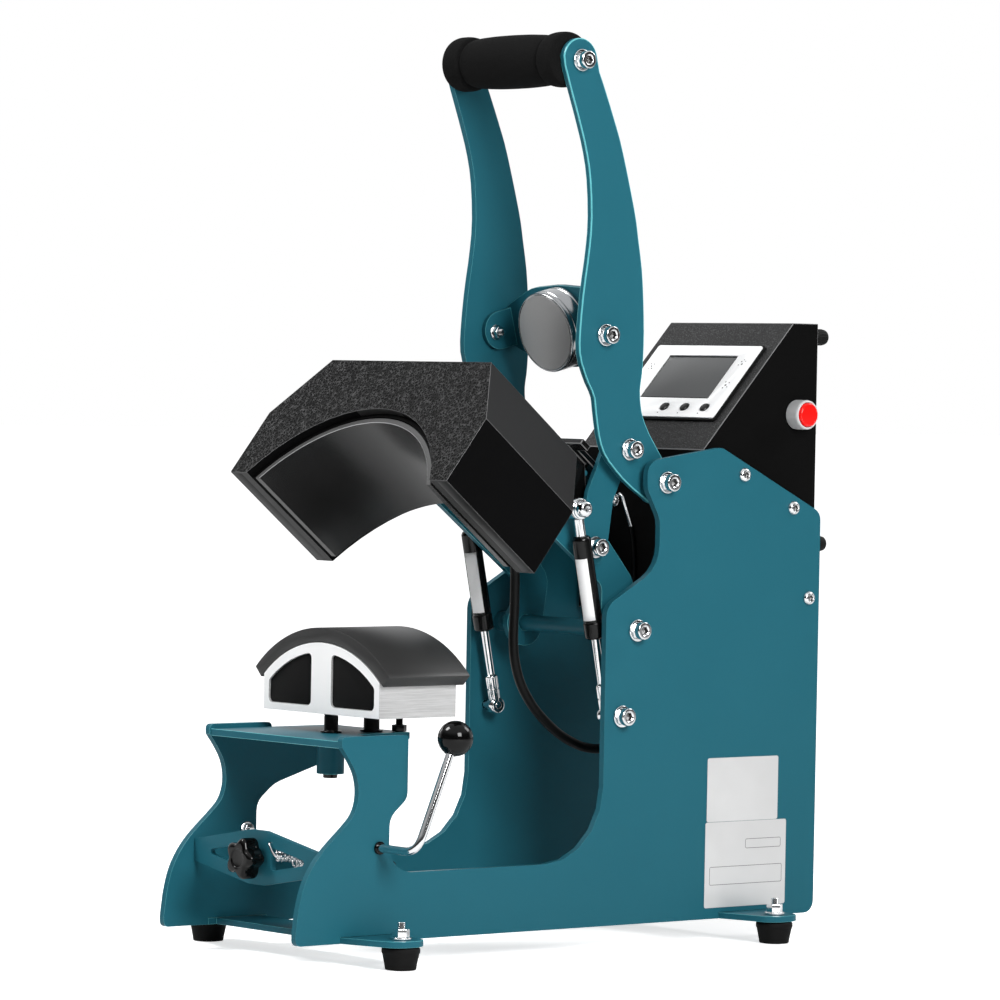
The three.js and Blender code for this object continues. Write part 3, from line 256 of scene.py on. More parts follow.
@dataclass
class Effects:
    """The node groups that several finishes share, each built once. The scales are to the metre."""

    cloud_scale: float = 14.0
    fine_scale: float = 900.0
    cell_scale: float = 400.0
    ridge_width: float = 0.13
    fold_wander: float = 0.004
    speck_scale: float = 1250.0
    brush_scale: float = 1800.0
    relief: dict[Pattern, bpy.types.NodeTree] = field(default_factory=dict)

    def __post_init__(self) -> None:
        """Builds the groups."""
        self.relief = {
            Pattern.SMOOTH: self._grain("Smooth relief", self.fine_scale, 2.0),
            Pattern.ORANGE_PEEL: self._grain("Powder coat relief", self.fine_scale * 0.8, 3.0),
            Pattern.WRINKLE: self._wrinkle(),
            Pattern.SPECKLE: self._speckle(),
            Pattern.BRUSHED: self._brushed(),
            Pattern.FOAM: self._grain("Foam relief", self.fine_scale * 1.4, 6.0),
        }

    def _coords(self, group: bpy.types.NodeTree) -> bpy.types.NodeSocket:
        """Adds object coordinates to a group and gives their socket."""
        return group.nodes.new("ShaderNodeTexCoord").outputs["Object"]

    def _finish(self, group: bpy.types.NodeTree, fine: bpy.types.NodeSocket,
                coords: bpy.types.NodeSocket) -> bpy.types.NodeTree:
        """Wires a group's outputs: Height from the fine relief, Shade with slow clouds over it.

        Args:
            group: the group.
            fine: the fine relief's value.
            coords: the coordinates.

        Returns:
            The group.
        """
        source, sink = group.nodes["in"], group.nodes["out"]
        cloud = noise(group, coords, self.cloud_scale, 3.0)
        group.links.new(maths(group, "MULTIPLY", fine, source.outputs["Relief"]), sink.inputs["Height"])
        mixed = maths(group, "ADD", maths(group, "MULTIPLY", cloud, source.outputs["Cloud"]),
                      maths(group, "MULTIPLY", fine, source.outputs["Speck"]))
        group.links.new(mixed, sink.inputs["Shade"])
        return group

    def _new(self, name: str) -> bpy.types.NodeTree:
        """Makes a relief group with the sockets that every finish sets."""
        return new_group(name, {"Relief": 1.0, "Cloud": 0.5, "Speck": 0.5}, ("Height", "Shade"))

    def _grain(self, name: str, scale: float, detail: float) -> bpy.types.NodeTree:
        """Builds an even grain.

        Args:
            name: the group's name.
            scale: grains to the metre.
            detail: octaves.

        Returns:
            The group.
        """
        group = self._new(name)
        coords = self._coords(group)
        return self._finish(group, noise(group, coords, scale, detail), coords)

    def _wrinkle(self) -> bpy.types.NodeTree:
        """Builds the short folds of textured powder coat; its Shade marks the folds' ridges, which the
        wrinkle coat paints lighter as highlights.

        Returns:
            The group.
        """
        group = self._new("Wrinkle relief")
        coords = self._coords(group)
        bent = group.nodes.new("ShaderNodeVectorMath")
        bent.operation = "MULTIPLY_ADD"
        wander = group.nodes.new("ShaderNodeTexNoise")
        wander.inputs["Scale"].default_value = self.cell_scale * 0.6
        group.links.new(coords, wander.inputs["Vector"])
        group.links.new(wander.outputs["Color"], bent.inputs[0])
        bent.inputs[1].default_value = (self.fold_wander,) * 3
        group.links.new(coords, bent.inputs[2])
        cells = group.nodes.new("ShaderNodeTexVoronoi")
        cells.feature = "DISTANCE_TO_EDGE"
        cells.inputs["Scale"].default_value = self.cell_scale
        group.links.new(bent.outputs[0], cells.inputs["Vector"])
        # The ridges' Shade is painted lighter as highlights on the folds.
        ridge = ranged(group, cells.outputs["Distance"], 0.0, self.ridge_width, 1.0, 0.0)
        patches = ranged(group, noise(group, coords, self.cell_scale * 0.6, 2.0), 0.36, 0.6, 0.25, 1.0)
        return self._finish(group, maths(group, "MULTIPLY", ridge, patches), coords)

    def _speckle(self) -> bpy.types.NodeTree:
        """Builds the fine bright specks of a sanded powder coat.

        Returns:
            The group.
        """
        group = self._new("Speckle relief")
        coords = self._coords(group)
        specks = ranged(group, noise(group, coords, self.speck_scale, 2.0), 0.5, 0.72, 0.0, 1.0)
        return self._finish(group, specks, coords)

    def _brushed(self) -> bpy.types.NodeTree:
        """Builds the fine lines of a brushed face, along Y.

        Returns:
            The group.
        """
        group = self._new("Brushed relief")
        coords = self._coords(group)
        mapping = group.nodes.new("ShaderNodeMapping")
        mapping.inputs["Scale"].default_value = (1.0, 0.02, 1.0)
        group.links.new(coords, mapping.inputs["Vector"])
        return self._finish(group, noise(group, mapping.outputs[0], self.brush_scale, 4.0, 0.7), coords)


@dataclass(frozen=True)
class Finish:
    """One finish: two near colours, gloss, and the relief that breaks them up."""

    name: str
    slot: str
    dark: Colour
    light: Colour
    metallic: float = 0.0
    roughness: Span = (0.4, 0.5)
    pattern: Pattern = Pattern.SMOOTH
    relief: float = 0.00002
    cloud: float = 0.6
    speck: float = 0.4
    specular: float = 0.5

    def material(self, effects: Effects) -> bpy.types.Material:
        """Builds the finish's material, or gives the one that is there.

        Args:
            effects: the shared node groups.

        Returns:
            The material.
        """
        known = bpy.data.materials.get(self.name)
        if known:
            return known
        made = bpy.data.materials.new(self.name)
        made.use_nodes = True
        tree = made.node_tree
        shader = tree.nodes["Principled BSDF"]
        effect = tree.nodes.new("ShaderNodeGroup")
        effect.node_tree = effects.relief[self.pattern]
        effect.inputs["Relief"].default_value = self.relief
        effect.inputs["Cloud"].default_value = self.cloud
        effect.inputs["Speck"].default_value = self.speck
        ramp = tree.nodes.new("ShaderNodeMix")
        ramp.data_type = "RGBA"
        ramp.inputs[6].default_value = (*self.dark, 1)
        ramp.inputs[7].default_value = (*self.light, 1)
        tree.links.new(effect.outputs["Shade"], ramp.inputs[0])
        tree.links.new(ramp.outputs[2], shader.inputs["Base Color"])
        low, high = self.roughness
        rough = maths(tree, "MULTIPLY", effect.outputs["Shade"], high - low)
        tree.links.new(maths(tree, "ADD", rough, low), shader.inputs["Roughness"])
        bump = tree.nodes.new("ShaderNodeBump")
        bump.inputs["Strength"].default_value = 1.0
        bump.inputs["Distance"].default_value = 1.0
        tree.links.new(effect.outputs["Height"], bump.inputs["Height"])
        tree.links.new(bump.outputs[0], shader.inputs["Normal"])
        shader.inputs["Metallic"].default_value = self.metallic
        shader.inputs["Specular IOR Level"].default_value = self.specular
        return made


def grey(level: float) -> Colour:
    """Gives a neutral colour."""
    return (level,) * 3


TEAL = Finish("Teal powder coat", "teal_paint", (0.011, 0.095, 0.130), (0.015, 0.110, 0.147), 0.0,
              (0.34, 0.46), Pattern.ORANGE_PEEL, 0.000012, specular=0.12)
# Much lighter teal on the rounded arrises: a painted highlight, not a colour of the coat.
TEAL_ARRIS_HIGHLIGHT = Finish("Teal coat, painted highlight on the arrises", "teal_paint", (0.075, 0.340, 0.380), (0.120, 0.470, 0.510),
                   0.0, (0.26, 0.38), Pattern.ORANGE_PEEL, 0.000012, specular=0.4)
# Black wrinkle coat whose lighter ridges are painted highlights; the folds' relief is real.
BLACK_WRINKLE_RIDGE_HIGHLIGHTS = Finish("Black wrinkle coat, ridges painted as highlights", "cover_paint", grey(0.0015), (0.085, 0.085, 0.086), 0.0,
                       (0.4, 0.62), Pattern.WRINKLE, 0.0002, cloud=0.0, speck=1.0, specular=0.03)
BLACK_COAT = Finish("Black fine coat", "cover_paint", (0.0012, 0.0012, 0.0013), (0.003, 0.003, 0.0032), 0.0,
                    (0.42, 0.55), Pattern.ORANGE_PEEL, 0.00002, specular=0.03)
# The black cover coat painted lighter for the faces turned up: painted light from above.
COVER_COAT_PAINTED_LIGHT = Finish("Cover coat painted lighter where lit", "cover_paint", (0.005, 0.005, 0.0052),
                    (0.014, 0.014, 0.0145), 0.0, (0.42, 0.55), Pattern.SPECKLE, 0.00002, specular=0.04)
# The black box's coat painted grey where it faces up: painted light; its specks are the coat's grain.
HOUSING_COAT_PAINTED_LIGHT = Finish("Housing coat", "cover_paint", grey(0.012), (0.110, 0.110, 0.112), 0.0, (0.42, 0.6),
                   Pattern.SPECKLE, 0.00003, cloud=0.12, speck=0.8, specular=0.1)
BLACK_GLOSS = Finish("Black gloss enamel", "black_steel", grey(0.0015), grey(0.004), 0.0, (0.14, 0.22),
                     Pattern.ORANGE_PEEL, 0.000004, specular=0.25)
BLACK_PLASTIC = Finish("Black moulded plastic", "black_plastic", grey(0.001), grey(0.0025), 0.0,
                       (0.07, 0.12), Pattern.SMOOTH, 0.000002, specular=0.22)
RUBBER = Finish("Black rubber", "black_rubber", grey(0.003), grey(0.008), 0.0, (0.55, 0.75),
                Pattern.ORANGE_PEEL, 0.00003, specular=0.1)
SILICONE = Finish("Black silicone sponge", "black_rubber", grey(0.011), grey(0.018), 0.0, (0.4, 0.5),
                  Pattern.FOAM, 0.00002, specular=0.5)
FOAM = Finish("Grip foam", "grip_foam", grey(0.0005), grey(0.012), 0.0, (0.65, 0.85), Pattern.FOAM, 0.00035,
              cloud=0.2, speck=0.8, specular=0.03)
CHROME = Finish("Bright zinc and chrome", "bright_steel", (0.66, 0.67, 0.68), (0.86, 0.87, 0.88), 1.0,
                (0.06, 0.14), Pattern.SMOOTH, 0.000002)
# Darker steel for the inside of socket recesses: painted shade.
RECESS_PAINTED_SHADE = Finish("Steel with painted shade in the recess", "bright_steel", grey(0.12), grey(0.3), 1.0, (0.2, 0.3))
GROUND_STEEL = Finish("Ground steel", "magnet_steel", grey(0.26), grey(0.34), 0.55, (0.34, 0.46),
                      Pattern.BRUSHED, 0.000002, cloud=0.5)
POT_STEEL = Finish("Bright plated pot", "magnet_steel", (0.34, 0.35, 0.36), (0.46, 0.47, 0.48), 1.0,
                   (0.16, 0.22), Pattern.SMOOTH, 0.000001)
ALUMINIUM = Finish("Brushed aluminium", "brushed_aluminium", grey(0.30), grey(0.86), 0.5, (0.26, 0.42),
                   Pattern.BRUSHED, 0.00003, cloud=0.15, speck=0.9)
ALUMINIUM_FACE = Finish("Milled aluminium face", "brushed_aluminium", grey(0.90), grey(0.96), 0.1,
                        (0.3, 0.42), Pattern.BRUSHED, 0.000004)
# Lighter aluminium on the block's rounded arrises: a painted highlight.
ALUMINIUM_ARRIS_HIGHLIGHT = Finish("Aluminium arris, painted highlight", "brushed_aluminium", grey(0.62), grey(0.80), 0.6, (0.2, 0.3),
                        Pattern.BRUSHED, 0.00001)
SHELL_COAT = Finish("Dark non-stick coat", "heater_skin", grey(0.004), grey(0.010), 0.0, (0.2, 0.3),
                    Pattern.SMOOTH, 0.000004, specular=0.5)
SHELL_RIM = Finish("Heater rim", "heater_skin", grey(0.030), grey(0.085), 0.3, (0.3, 0.45), Pattern.SPECKLE,
                   0.00001)
# Pale grey on the shell's inner front rounding: a painted highlight.
SHELL_ARRIS_HIGHLIGHT = Finish("Painted highlight on the inner arris", "heater_skin", (0.40, 0.40, 0.41), (0.60, 0.60, 0.61), 0.6,
                    (0.3, 0.4))
WHITE_PLASTIC = Finish("White plastic", "white_plastic", (0.95, 0.95, 0.955), grey(0.99), 0.0, (0.25, 0.35),
                       Pattern.SMOOTH, 0.000004)
GREY_PLASTIC = Finish("Pale grey plastic", "white_plastic", (0.50, 0.505, 0.51), (0.60, 0.605, 0.61), 0.0,
                      (0.3, 0.4))
RED_PLASTIC = Finish("Red plastic", "red_plastic", (0.80, 0.004, 0.003), (0.92, 0.008, 0.006), 0.0,
                     (0.2, 0.3), Pattern.SMOOTH, 0.000003, specular=0.3)
SCREEN_GREY = Finish("Screen glass", "screen", (0.070, 0.072, 0.073), (0.095, 0.097, 0.098), 0.0,
                     (0.1, 0.16), specular=0.2)
SCREEN_EDGE = Finish("Screen border", "screen", grey(0.006), grey(0.012), 0.0, (0.2, 0.3), specular=0.2)
BOARD_GREEN = Finish("Board lacquer", "board", (0.01, 0.09, 0.04), (0.02, 0.14, 0.07), 0.0, (0.3, 0.5))
SILVER_LABEL = Finish("Silver foil label", "white_plastic", grey(0.52), grey(0.70), 0.15, (0.3, 0.42),
                      Pattern.BRUSHED, 0.000004, cloud=0.8, speck=0.1)
WHITE_LABEL = Finish("White paper label", "white_plastic", grey(0.78), grey(0.88), 0.0, (0.4, 0.55))
# Grey on the black cover's rounded arrises: a painted highlight.
COVER_ARRIS_HIGHLIGHT = Finish("Cover coat, painted highlight on the arrises", "cover_paint", (0.060, 0.060, 0.062),
                    (0.160, 0.160, 0.163), 0.0, (0.3, 0.45), Pattern.SPECKLE, 0.00002, cloud=0.4)
HEM_COAT = Finish("Smooth hem coat", "cover_paint", grey(0.006), grey(0.014), 0.0, (0.35, 0.5),
                  Pattern.ORANGE_PEEL, 0.00002, specular=0.2)
LINER = Finish("Insulation liner", "black_rubber", grey(0.001), grey(0.004), 0.0, (0.7, 0.85), Pattern.FOAM,
               0.00004, specular=0.03)
# Grey on the black enamel's rounded arrises: a painted highlight.
ENAMEL_ARRIS_HIGHLIGHT = Finish("Enamel, painted highlight on the arrises", "black_steel", (0.080, 0.080, 0.082), (0.17, 0.17, 0.172), 0.0,
                    (0.2, 0.3), Pattern.ORANGE_PEEL, 0.000006)
BOX_SIDE = Finish("Box side coat", "cover_paint", grey(0.0018), grey(0.0045), 0.0, (0.42, 0.55),
                  Pattern.ORANGE_PEEL, 0.00001, specular=0.03)
# Grey on the black box's rounded arrises: a painted highlight.
HOUSING_ARRIS_HIGHLIGHT = Finish("Housing coat, painted highlight on the arrises", "cover_paint", (0.12, 0.12, 0.122), (0.26, 0.26, 0.263),
                   0.0, (0.3, 0.45), Pattern.SPECKLE, 0.00002, cloud=0.5)
POCKET = Finish("Dark pocket plate", "black_steel", grey(0.004), grey(0.008), 0.0, (0.5, 0.65),
                Pattern.ORANGE_PEEL, 0.00002, specular=0.06)
PRINT_GREY = Finish("Grey print", "white_plastic", grey(0.05), grey(0.09), 0.0, (0.4, 0.5))
CABLE = Finish("Black cable sleeve", "black_rubber", grey(0.002), grey(0.005), 0.0, (0.3, 0.42),
               Pattern.ORANGE_PEEL, 0.000006, specular=0.12)


def new_object(name: str, mesh: bpy.types.Mesh) -> bpy.types.Object:
    """Puts a mesh into the scene.

    Args:
        name: the piece's name.
        mesh: its mesh.

    Returns:
        The object.
    """
    piece = bpy.data.objects.new(name, mesh)
    bpy.context.scene.collection.objects.link(piece)
    return piece


def to_object(name: str, bm: bmesh.types.BMesh, sharp: float = math.radians(32)) -> bpy.types.Object:
    """Turns a bmesh into a smooth-shaded object with its sharp edges kept.

    Args:
        name: the piece's name.
        bm: the bmesh, which is freed.
        sharp: the angle past which an edge stays sharp.

    Returns:
        The object.
    """
    bmesh.ops.recalc_face_normals(bm, faces=bm.faces)
    for face in bm.faces:
        face.smooth = True
    for edge in bm.edges:
        edge.smooth = len(edge.link_faces) != 2 or edge.calc_face_angle(0) < sharp
    mesh = bpy.data.meshes.new(name)
    bm.to_mesh(mesh)
    bm.free()
    return new_object(name, mesh)


@dataclass
class Workshop:
    """Builds pieces and dresses them: the tools that all sub-assemblies use."""

    effects: Effects
    sharp_angle: float = math.radians(28)
    flat_angle: float = math.radians(0.6)
    recess_depth: float = 6.0

    def dress(self, piece: bpy.types.Object, finish: Finish, body: Optional[str],
              *replaced: str) -> bpy.types.Object:
        """Gives a piece its finish, its body and what it stands for.

        Args:
            piece: the new piece.
            finish: its finish.
            body: the CAD body that it rides on, or None where it bends between two.
            replaced: the CAD nodes that it stands for.

        Returns:
            The piece.
        """
        piece.data.materials.append(finish.material(self.effects))
        if body:
            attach(piece, body)
        if replaced:
            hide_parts(*replaced)
        return piece

    def soften(self, node: str, finish: Finish, width: float = 0.6, edge: Optional[Finish] = None,
               faces: Optional[Callable[[Vector], Optional[Finish]]] = None) -> bpy.types.Object:
        """Stands in for a CAD node with the same shape, its sharp edges rounded.

        Args:
            node: the CAD node.
            finish: its finish.
            width: how wide the rounding is, in millimetres.
            edge: the finish of the rounded edges, where it differs; the callers give lighter ones that paint
                highlights there.
            faces: gives the finish of a face by its normal, where it differs.

        Returns:
            The new piece.
        """
        bm = bmesh.new()
        bm.from_mesh(frame["nodes"][node].data)
        bmesh.ops.remove_doubles(bm, verts=bm.verts, dist=2e-6)
        bmesh.ops.dissolve_limit(bm, angle_limit=self.flat_angle, verts=bm.verts, edges=bm.edges)
        finishes = [finish]
        for face in bm.faces:
            face.material_index = 0
            other = faces(face.normal) if faces else None
            if other:
                if other not in finishes:
                    finishes.append(other)
                face.material_index = finishes.index(other)
        if edge and edge not in finishes:
            finishes.append(edge)
        self.bevel(bm, width, finishes.index(edge) if edge else -1)
        piece = to_object(f"{node}_shaped", bm)
        weighted = piece.modifiers.new("Even shading", "WEIGHTED_NORMAL")
        weighted.keep_sharp = True
        self.dress(piece, finish, self.body_of(node), node)
        for other in finishes[1:]:
            piece.data.materials.append(other.material(self.effects))
        return piece

    def bevel(self, bm: bmesh.types.BMesh, width: float, material: int = -1) -> None:
        """Rounds the sharp edges of a bmesh.

        Args:
            bm: the bmesh.
            width: how wide the rounding is, in millimetres.
            material: the number of the rounding's material, or -1 to keep that of the faces beside it.
        """
        edges = [e for e in bm.edges if len(e.link_faces) == 2 and e.calc_face_angle(0) > self.sharp_angle]
        bmesh.ops.bevel(bm, geom=edges, offset=width * MM, offset_type="OFFSET", segments=2, profile=0.5,
                        affect="EDGES", clamp_overlap=True, material=material)

    def body_of(self, node: str) -> str:
        """Gives the CAD body that a node belongs to."""
        parent = frame["nodes"][node].parent
        return next(name for name, empty in frame["bodies"].items() if empty == parent)

    def paint(self, node: str, finish: Finish) -> None:
        """Gives a CAD node, kept as it is, its finish.

        Args:
            node: the CAD node.
            finish: its finish.
        """
        mesh = frame["nodes"][node].data
        mesh.materials.clear()
        mesh.materials.append(finish.material(self.effects))

    def lathe(self, name: str, profile: Profile, origin: Vector, axis: Vector, steps: int = 48,
              reshape: Optional[Reshape] = None) -> bpy.types.Object:
        """Turns a half outline round an axis.

        Args:
            name: the piece's name.
            profile: (radius, height) or (radius, height, fillet), in millimetres, from the axis to the axis.
            origin: where height 0 is.
            axis: the way that height runs.
            steps: faces round it.
            reshape: gives the radius of a point from its radius, height and angle.

        Returns:
            The object.
        """
        place = Matrix.Translation(origin) @ axis.to_track_quat("Z", "Y").to_matrix().to_4x4()
        bm = bmesh.new()
        rings = []
        for radius, height in rounded_profile(profile):
            if radius < 1e-4:
                rings.append([bm.verts.new(place @ Vector((0, 0, height * MM)))])
                continue
            ring = []
            for k in range(steps):
                angle = 2 * math.pi * k / steps
                r = (reshape(radius, height, angle) if reshape else radius) * MM
                point = Vector((r * math.cos(angle), r * math.sin(angle), height * MM))
                ring.append(bm.verts.new(place @ point))
            rings.append(ring)
        for low, high in zip(rings, rings[1:]):
            for k in range(steps):
                lower = (low[k % len(low)], low[(k + 1) % len(low)])
                upper = (high[(k + 1) % len(high)], high[k % len(high)])
                corners = list(dict.fromkeys((*lower, *upper)))
                if len(corners) > 2:
                    bm.faces.new(corners)
        first, last = rings[0], rings[-1]
        if len(first) > 1 and len(last) > 1:
            for k in range(steps):
                following = (k + 1) % steps
                bm.faces.new((last[k], last[following], first[following], first[k]))
        return to_object(name, bm)

    def slab(self, name: str, outline: Outline, origin: Vector, right: Vector, up: Vector, thickness: float,
             soft: float = 0.0, holes: Sequence[Outline] = ()) -> bpy.types.Object:
        """Raises an outline into a slab.

        Args:
            name: the piece's name.
            outline: (right, up) pairs in millimetres, in order.
            origin: where (0, 0) of the outline is, on the slab's back.
            right: the outline's first direction.
            up: its second direction.
            thickness: how far it is raised along right x up, in millimetres.
            soft: rounding of its edges, in millimetres.
            holes: outlines cut out of it.

        Returns:
            The object.
        """
        bm = bmesh.new()
        loops = []
        for loop in (outline, *holes):
            verts = [bm.verts.new(origin + (right * a + up * b) * MM) for a, b in loop]
            loops += [bm.edges.new((verts[i], verts[(i + 1) % len(verts)])) for i in range(len(verts))]
        bmesh.ops.triangle_fill(bm, use_beauty=True, use_dissolve=False, edges=loops)
        raised = bmesh.ops.extrude_face_region(bm, geom=bm.faces[:])
        lift = right.cross(up).normalized() * thickness * MM
        top = [v for v in raised["geom"] if isinstance(v, bmesh.types.BMVert)]
        bmesh.ops.translate(bm, vec=lift, verts=top)
        bmesh.ops.recalc_face_normals(bm, faces=bm.faces)
        bmesh.ops.dissolve_limit(bm, angle_limit=self.flat_angle, verts=bm.verts, edges=bm.edges)
        if soft:
            self.bevel(bm, soft)
        return to_object(name, bm)

    def tube(self, name: str, points: Sequence[Vector], radius: float, sides: int = 14) -> bpy.types.Object:
        """Sweeps a circle along points.

        Args:
            name: the piece's name.
            points: the centre line, in metres.
            radius: the tube's radius, in millimetres.
            sides: faces round it.

        Returns:
            The object.
        """
        bm = bmesh.new()
        across = Vector((1, 0, 0))
        rings = []
        for i, point in enumerate(points):
            along = (points[min(i + 1, len(points) - 1)] - points[max(i - 1, 0)]).normalized()
            if i == 0 and abs(across.dot(along)) > 0.9:
                across = Vector((0, 0, 1))
            across = (across - along * across.dot(along)).normalized()
            other = along.cross(across)
            ring = []
            for k in range(sides):
                angle = 2 * math.pi * k / sides
                out = across * math.cos(angle) + other * math.sin(angle)
                ring.append(bm.verts.new(point + out * radius * MM))
            rings.append(ring)
        for low, high in zip(rings, rings[1:]):
            for k in range(sides):
                bm.faces.new((low[k], low[(k + 1) % sides], high[(k + 1) % sides], high[k]))
        bm.faces.new(rings[0][::-1])
        bm.faces.new(rings[-1])
        return to_object(name, bm, math.radians(60))

    def darken(self, piece: bpy.types.Object, finish: Finish, top: Vector, axis: Vector,
               radius: float) -> None:
        """Gives the faces of a recess a darker finish: painted shade.

        Args:
            piece: the piece that has the recess.
            finish: the darker finish that paints shade in the recess.
            top: the middle of its mouth.
            axis: the way out of it.
            radius: how far from the axis its faces can lie, in millimetres.
        """
        piece.data.materials.append(finish.material(self.effects))
        for face in piece.data.polygons:
            rise = face.center - top
            depth = rise.dot(axis)
            if -self.recess_depth * MM < depth < 0 and (rise - axis * depth).length < radius * MM:
                face.material_index = len(piece.data.materials) - 1

    def join(self, name: str, pieces: Iterable[bpy.types.Object]) -> bpy.types.Object:
        """Joins meshes of one finish into one piece.

        Args:
            name: the joined piece's name.
            pieces: the objects, which are used up.

        Returns:
            The joined object.
        """
        bm = bmesh.new()
        for piece in pieces:
            bm.from_mesh(piece.data)
            mesh = piece.data
            bpy.data.objects.remove(piece)
            bpy.data.meshes.remove(mesh)
        mesh = bpy.data.meshes.new(name)
        bm.to_mesh(mesh)
        bm.free()
        return new_object(name, mesh)


def rounded_profile(profile: Profile, steps: int = 4) -> list[Span]:
    """Rounds the corners of an open outline that ask for it.

    Args:
        profile: (x, y) or (x, y, fillet) tuples.
        steps: stretches to a corner.

    Returns:
        The (x, y) points.
    """
    out: list[Span] = []
    for i, corner in enumerate(profile):
        here = Vector(corner[:2])
        fillet = corner[2] if len(corner) > 2 else 0.0
        if not fillet or i in (0, len(profile) - 1):
            out.append((here.x, here.y))
            continue
        back, forth = Vector(profile[i - 1][:2]) - here, Vector(profile[i + 1][:2]) - here
        reach = min(fillet, back.length / 2.01, forth.length / 2.01)
        start, end = here + back.normalized() * reach, here + forth.normalized() * reach
        for k in range(steps + 1):
            t = k / steps
            point = start * (1 - t) ** 2 + here * (2 * t * (1 - t)) + end * t ** 2
            out.append((point.x, point.y))
    return out


def rounded_box(low: Span, high: Span, radius: float, steps: int = 6) -> list[Span]:
    """Gives a rectangle with round corners.

    Args:
        low: its lowest corner.
        high: its highest corner.
        radius: the corners' radius.
        steps: stretches to a corner.

    Returns:
        Its points, in order.
    """
    centres = ((high[0] - radius, high[1] - radius), (low[0] + radius, high[1] - radius),
               (low[0] + radius, low[1] + radius), (high[0] - radius, low[1] + radius))
    points = []
    for quarter, (x, y) in enumerate(centres):
        for k in range(steps + 1):
            angle = math.pi / 2 * (quarter + k / steps)
            points.append((x + radius * math.cos(angle), y + radius * math.sin(angle)))
    return points


def circle(x: float, y: float, radius: float, steps: int = 40) -> list[Span]:
    """Gives the points of a circle round (x, y)."""
    return [(x + radius * math.cos(2 * math.pi * k / steps), y + radius * math.sin(2 * math.pi * k / steps))
            for k in range(steps)]


def resampled(points: Sequence[Vector], spacing: float) -> list[Vector]:
    """Draws one smooth curve through points and samples it.

    Args:
        points: the points, in metres.
        spacing: about how far apart the samples are, in metres.

    Returns:
        The samples, with the first and the last point kept.
    """
    ends = [points[0] * 2 - points[1], *points, points[-1] * 2 - points[-2]]
    out: list[Vector] = []
    for a, b, c, d in zip(ends, ends[1:], ends[2:], ends[3:]):
        steps = max(1, round((c - b).length / spacing))
        for k in range(steps):
            t = k / steps
            out.append((b * 2 + (c - a) * t + (a * 2 - b * 5 + c * 4 - d) * t ** 2
                        + (b * 3 - a - c * 3 + d) * t ** 3) / 2)
    return [*out, points[-1].copy()]


def hexagon(apothem: float, angle: float) -> float:
    """Gives the radius of a hexagon at an angle."""
    return apothem / math.cos(angle % (math.pi / 3) - math.pi / 6)


def hexed(radii: Span, heights: Span = ANY, scale: float = 1.0) -> Reshape:
    """Makes hexagons of some of a turned piece's rings.

    Args:
        radii: between which radii a ring becomes one.
        heights: between which heights it does.
        scale: the hexagon's size against the ring's.

    Returns:
        What the lathe takes to reshape the rings.
    """
    def reshape(radius: float, height: float, angle: float) -> float:
        """Gives the hexagon's radius on the chosen rings."""
        chosen = radii[0] < radius < radii[1] and heights[0] < height < heights[1]
        return hexagon(radius * scale, angle) if chosen else radius

    return reshape


def fluted(count: int, depth: float, radii: Span = ANY, heights: Span = ANY) -> Reshape:
    """Cuts flutes round some of a turned piece's rings.

    Args:
        count: how many flutes.
        depth: their depth, as a share of the radius.
        radii: between which radii a ring has them.
        heights: between which heights it does.

    Returns:
        What the lathe takes to reshape the rings.
    """
    def reshape(radius: float, height: float, angle: float) -> float:
        """Gives the waved radius on the chosen rings."""
        chosen = radii[0] < radius < radii[1] and heights[0] < height < heights[1]
        return radius * (1 + depth * math.cos(count * angle)) if chosen else radius

    return reshape


def opened(x: float, y: float, z: float) -> Vector:
    """Gives the place, at rest, of a point that is measured on the closed platen.

    Args:
        x: millimetres to the right.
        y: millimetres behind the axle, with the platen closed.
        z: millimetres above the axle, with the platen closed.

    Returns:
        The place in the row frame, in metres.
    """
    c, s = math.cos(TILT), math.sin(TILT)
    return at(x, y * c + z * s, -y * s + z * c)


@dataclass
class HeaterLead:
    """The heater's lead, which bends between the platen and the box."""

    shop: Workshop
    radius: float = 3.5
    across: float = 20.0
    route: tuple[Span, ...] = ((-92.1, 98.8), (-85.5, 93.5), (-78.2, 85.5), (-72.4, 73.0), (-68.4, 56.0),
                               (-66.4, 40.0), (-66.2, 15.3), (-66.7, -7.2), (-64.9, -23.9), (-58.8, -40.8),
                               (-47.9, -56.3), (-33.3, -69.8), (-17.0, -80.6), (3.0, -88.4), (24.0, -89.6),
                               (50.0, -82.5), (76.0, -66.0), (94.0, -42.0), (103.0, -18.0), (105.0, 0.0),
                               (105.0, 9.7))

    def build(self) -> None:
        """Makes the lead and its bushes."""
        points = resampled([at(self.across, y, z) for y, z in self.route], 3 * MM)
        lead = self.shop.tube("heater_lead", points, self.radius, 20)
        self.shop.dress(lead, CABLE, None, "platen_lead")
        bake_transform(lead)
        for name, body, tip, next_tip in (("lead_bush_platen", "platen", points[0], points[2]),
                                          ("lead_bush_box", "frame", points[-1], points[-3])):
            profile = [(self.radius, -0.8), (self.radius + 2.2, -0.8, 0.4), (self.radius + 2.2, 1.6, 0.6),
                       (self.radius + 0.9, 2.4, 0.4), (self.radius + 0.5, 6.5, 0.3), (self.radius, 6.5)]
            bush = self.shop.lathe(name, profile, tip, (next_tip - tip).normalized(), 36)
            self.shop.dress(bush, RUBBER, body)


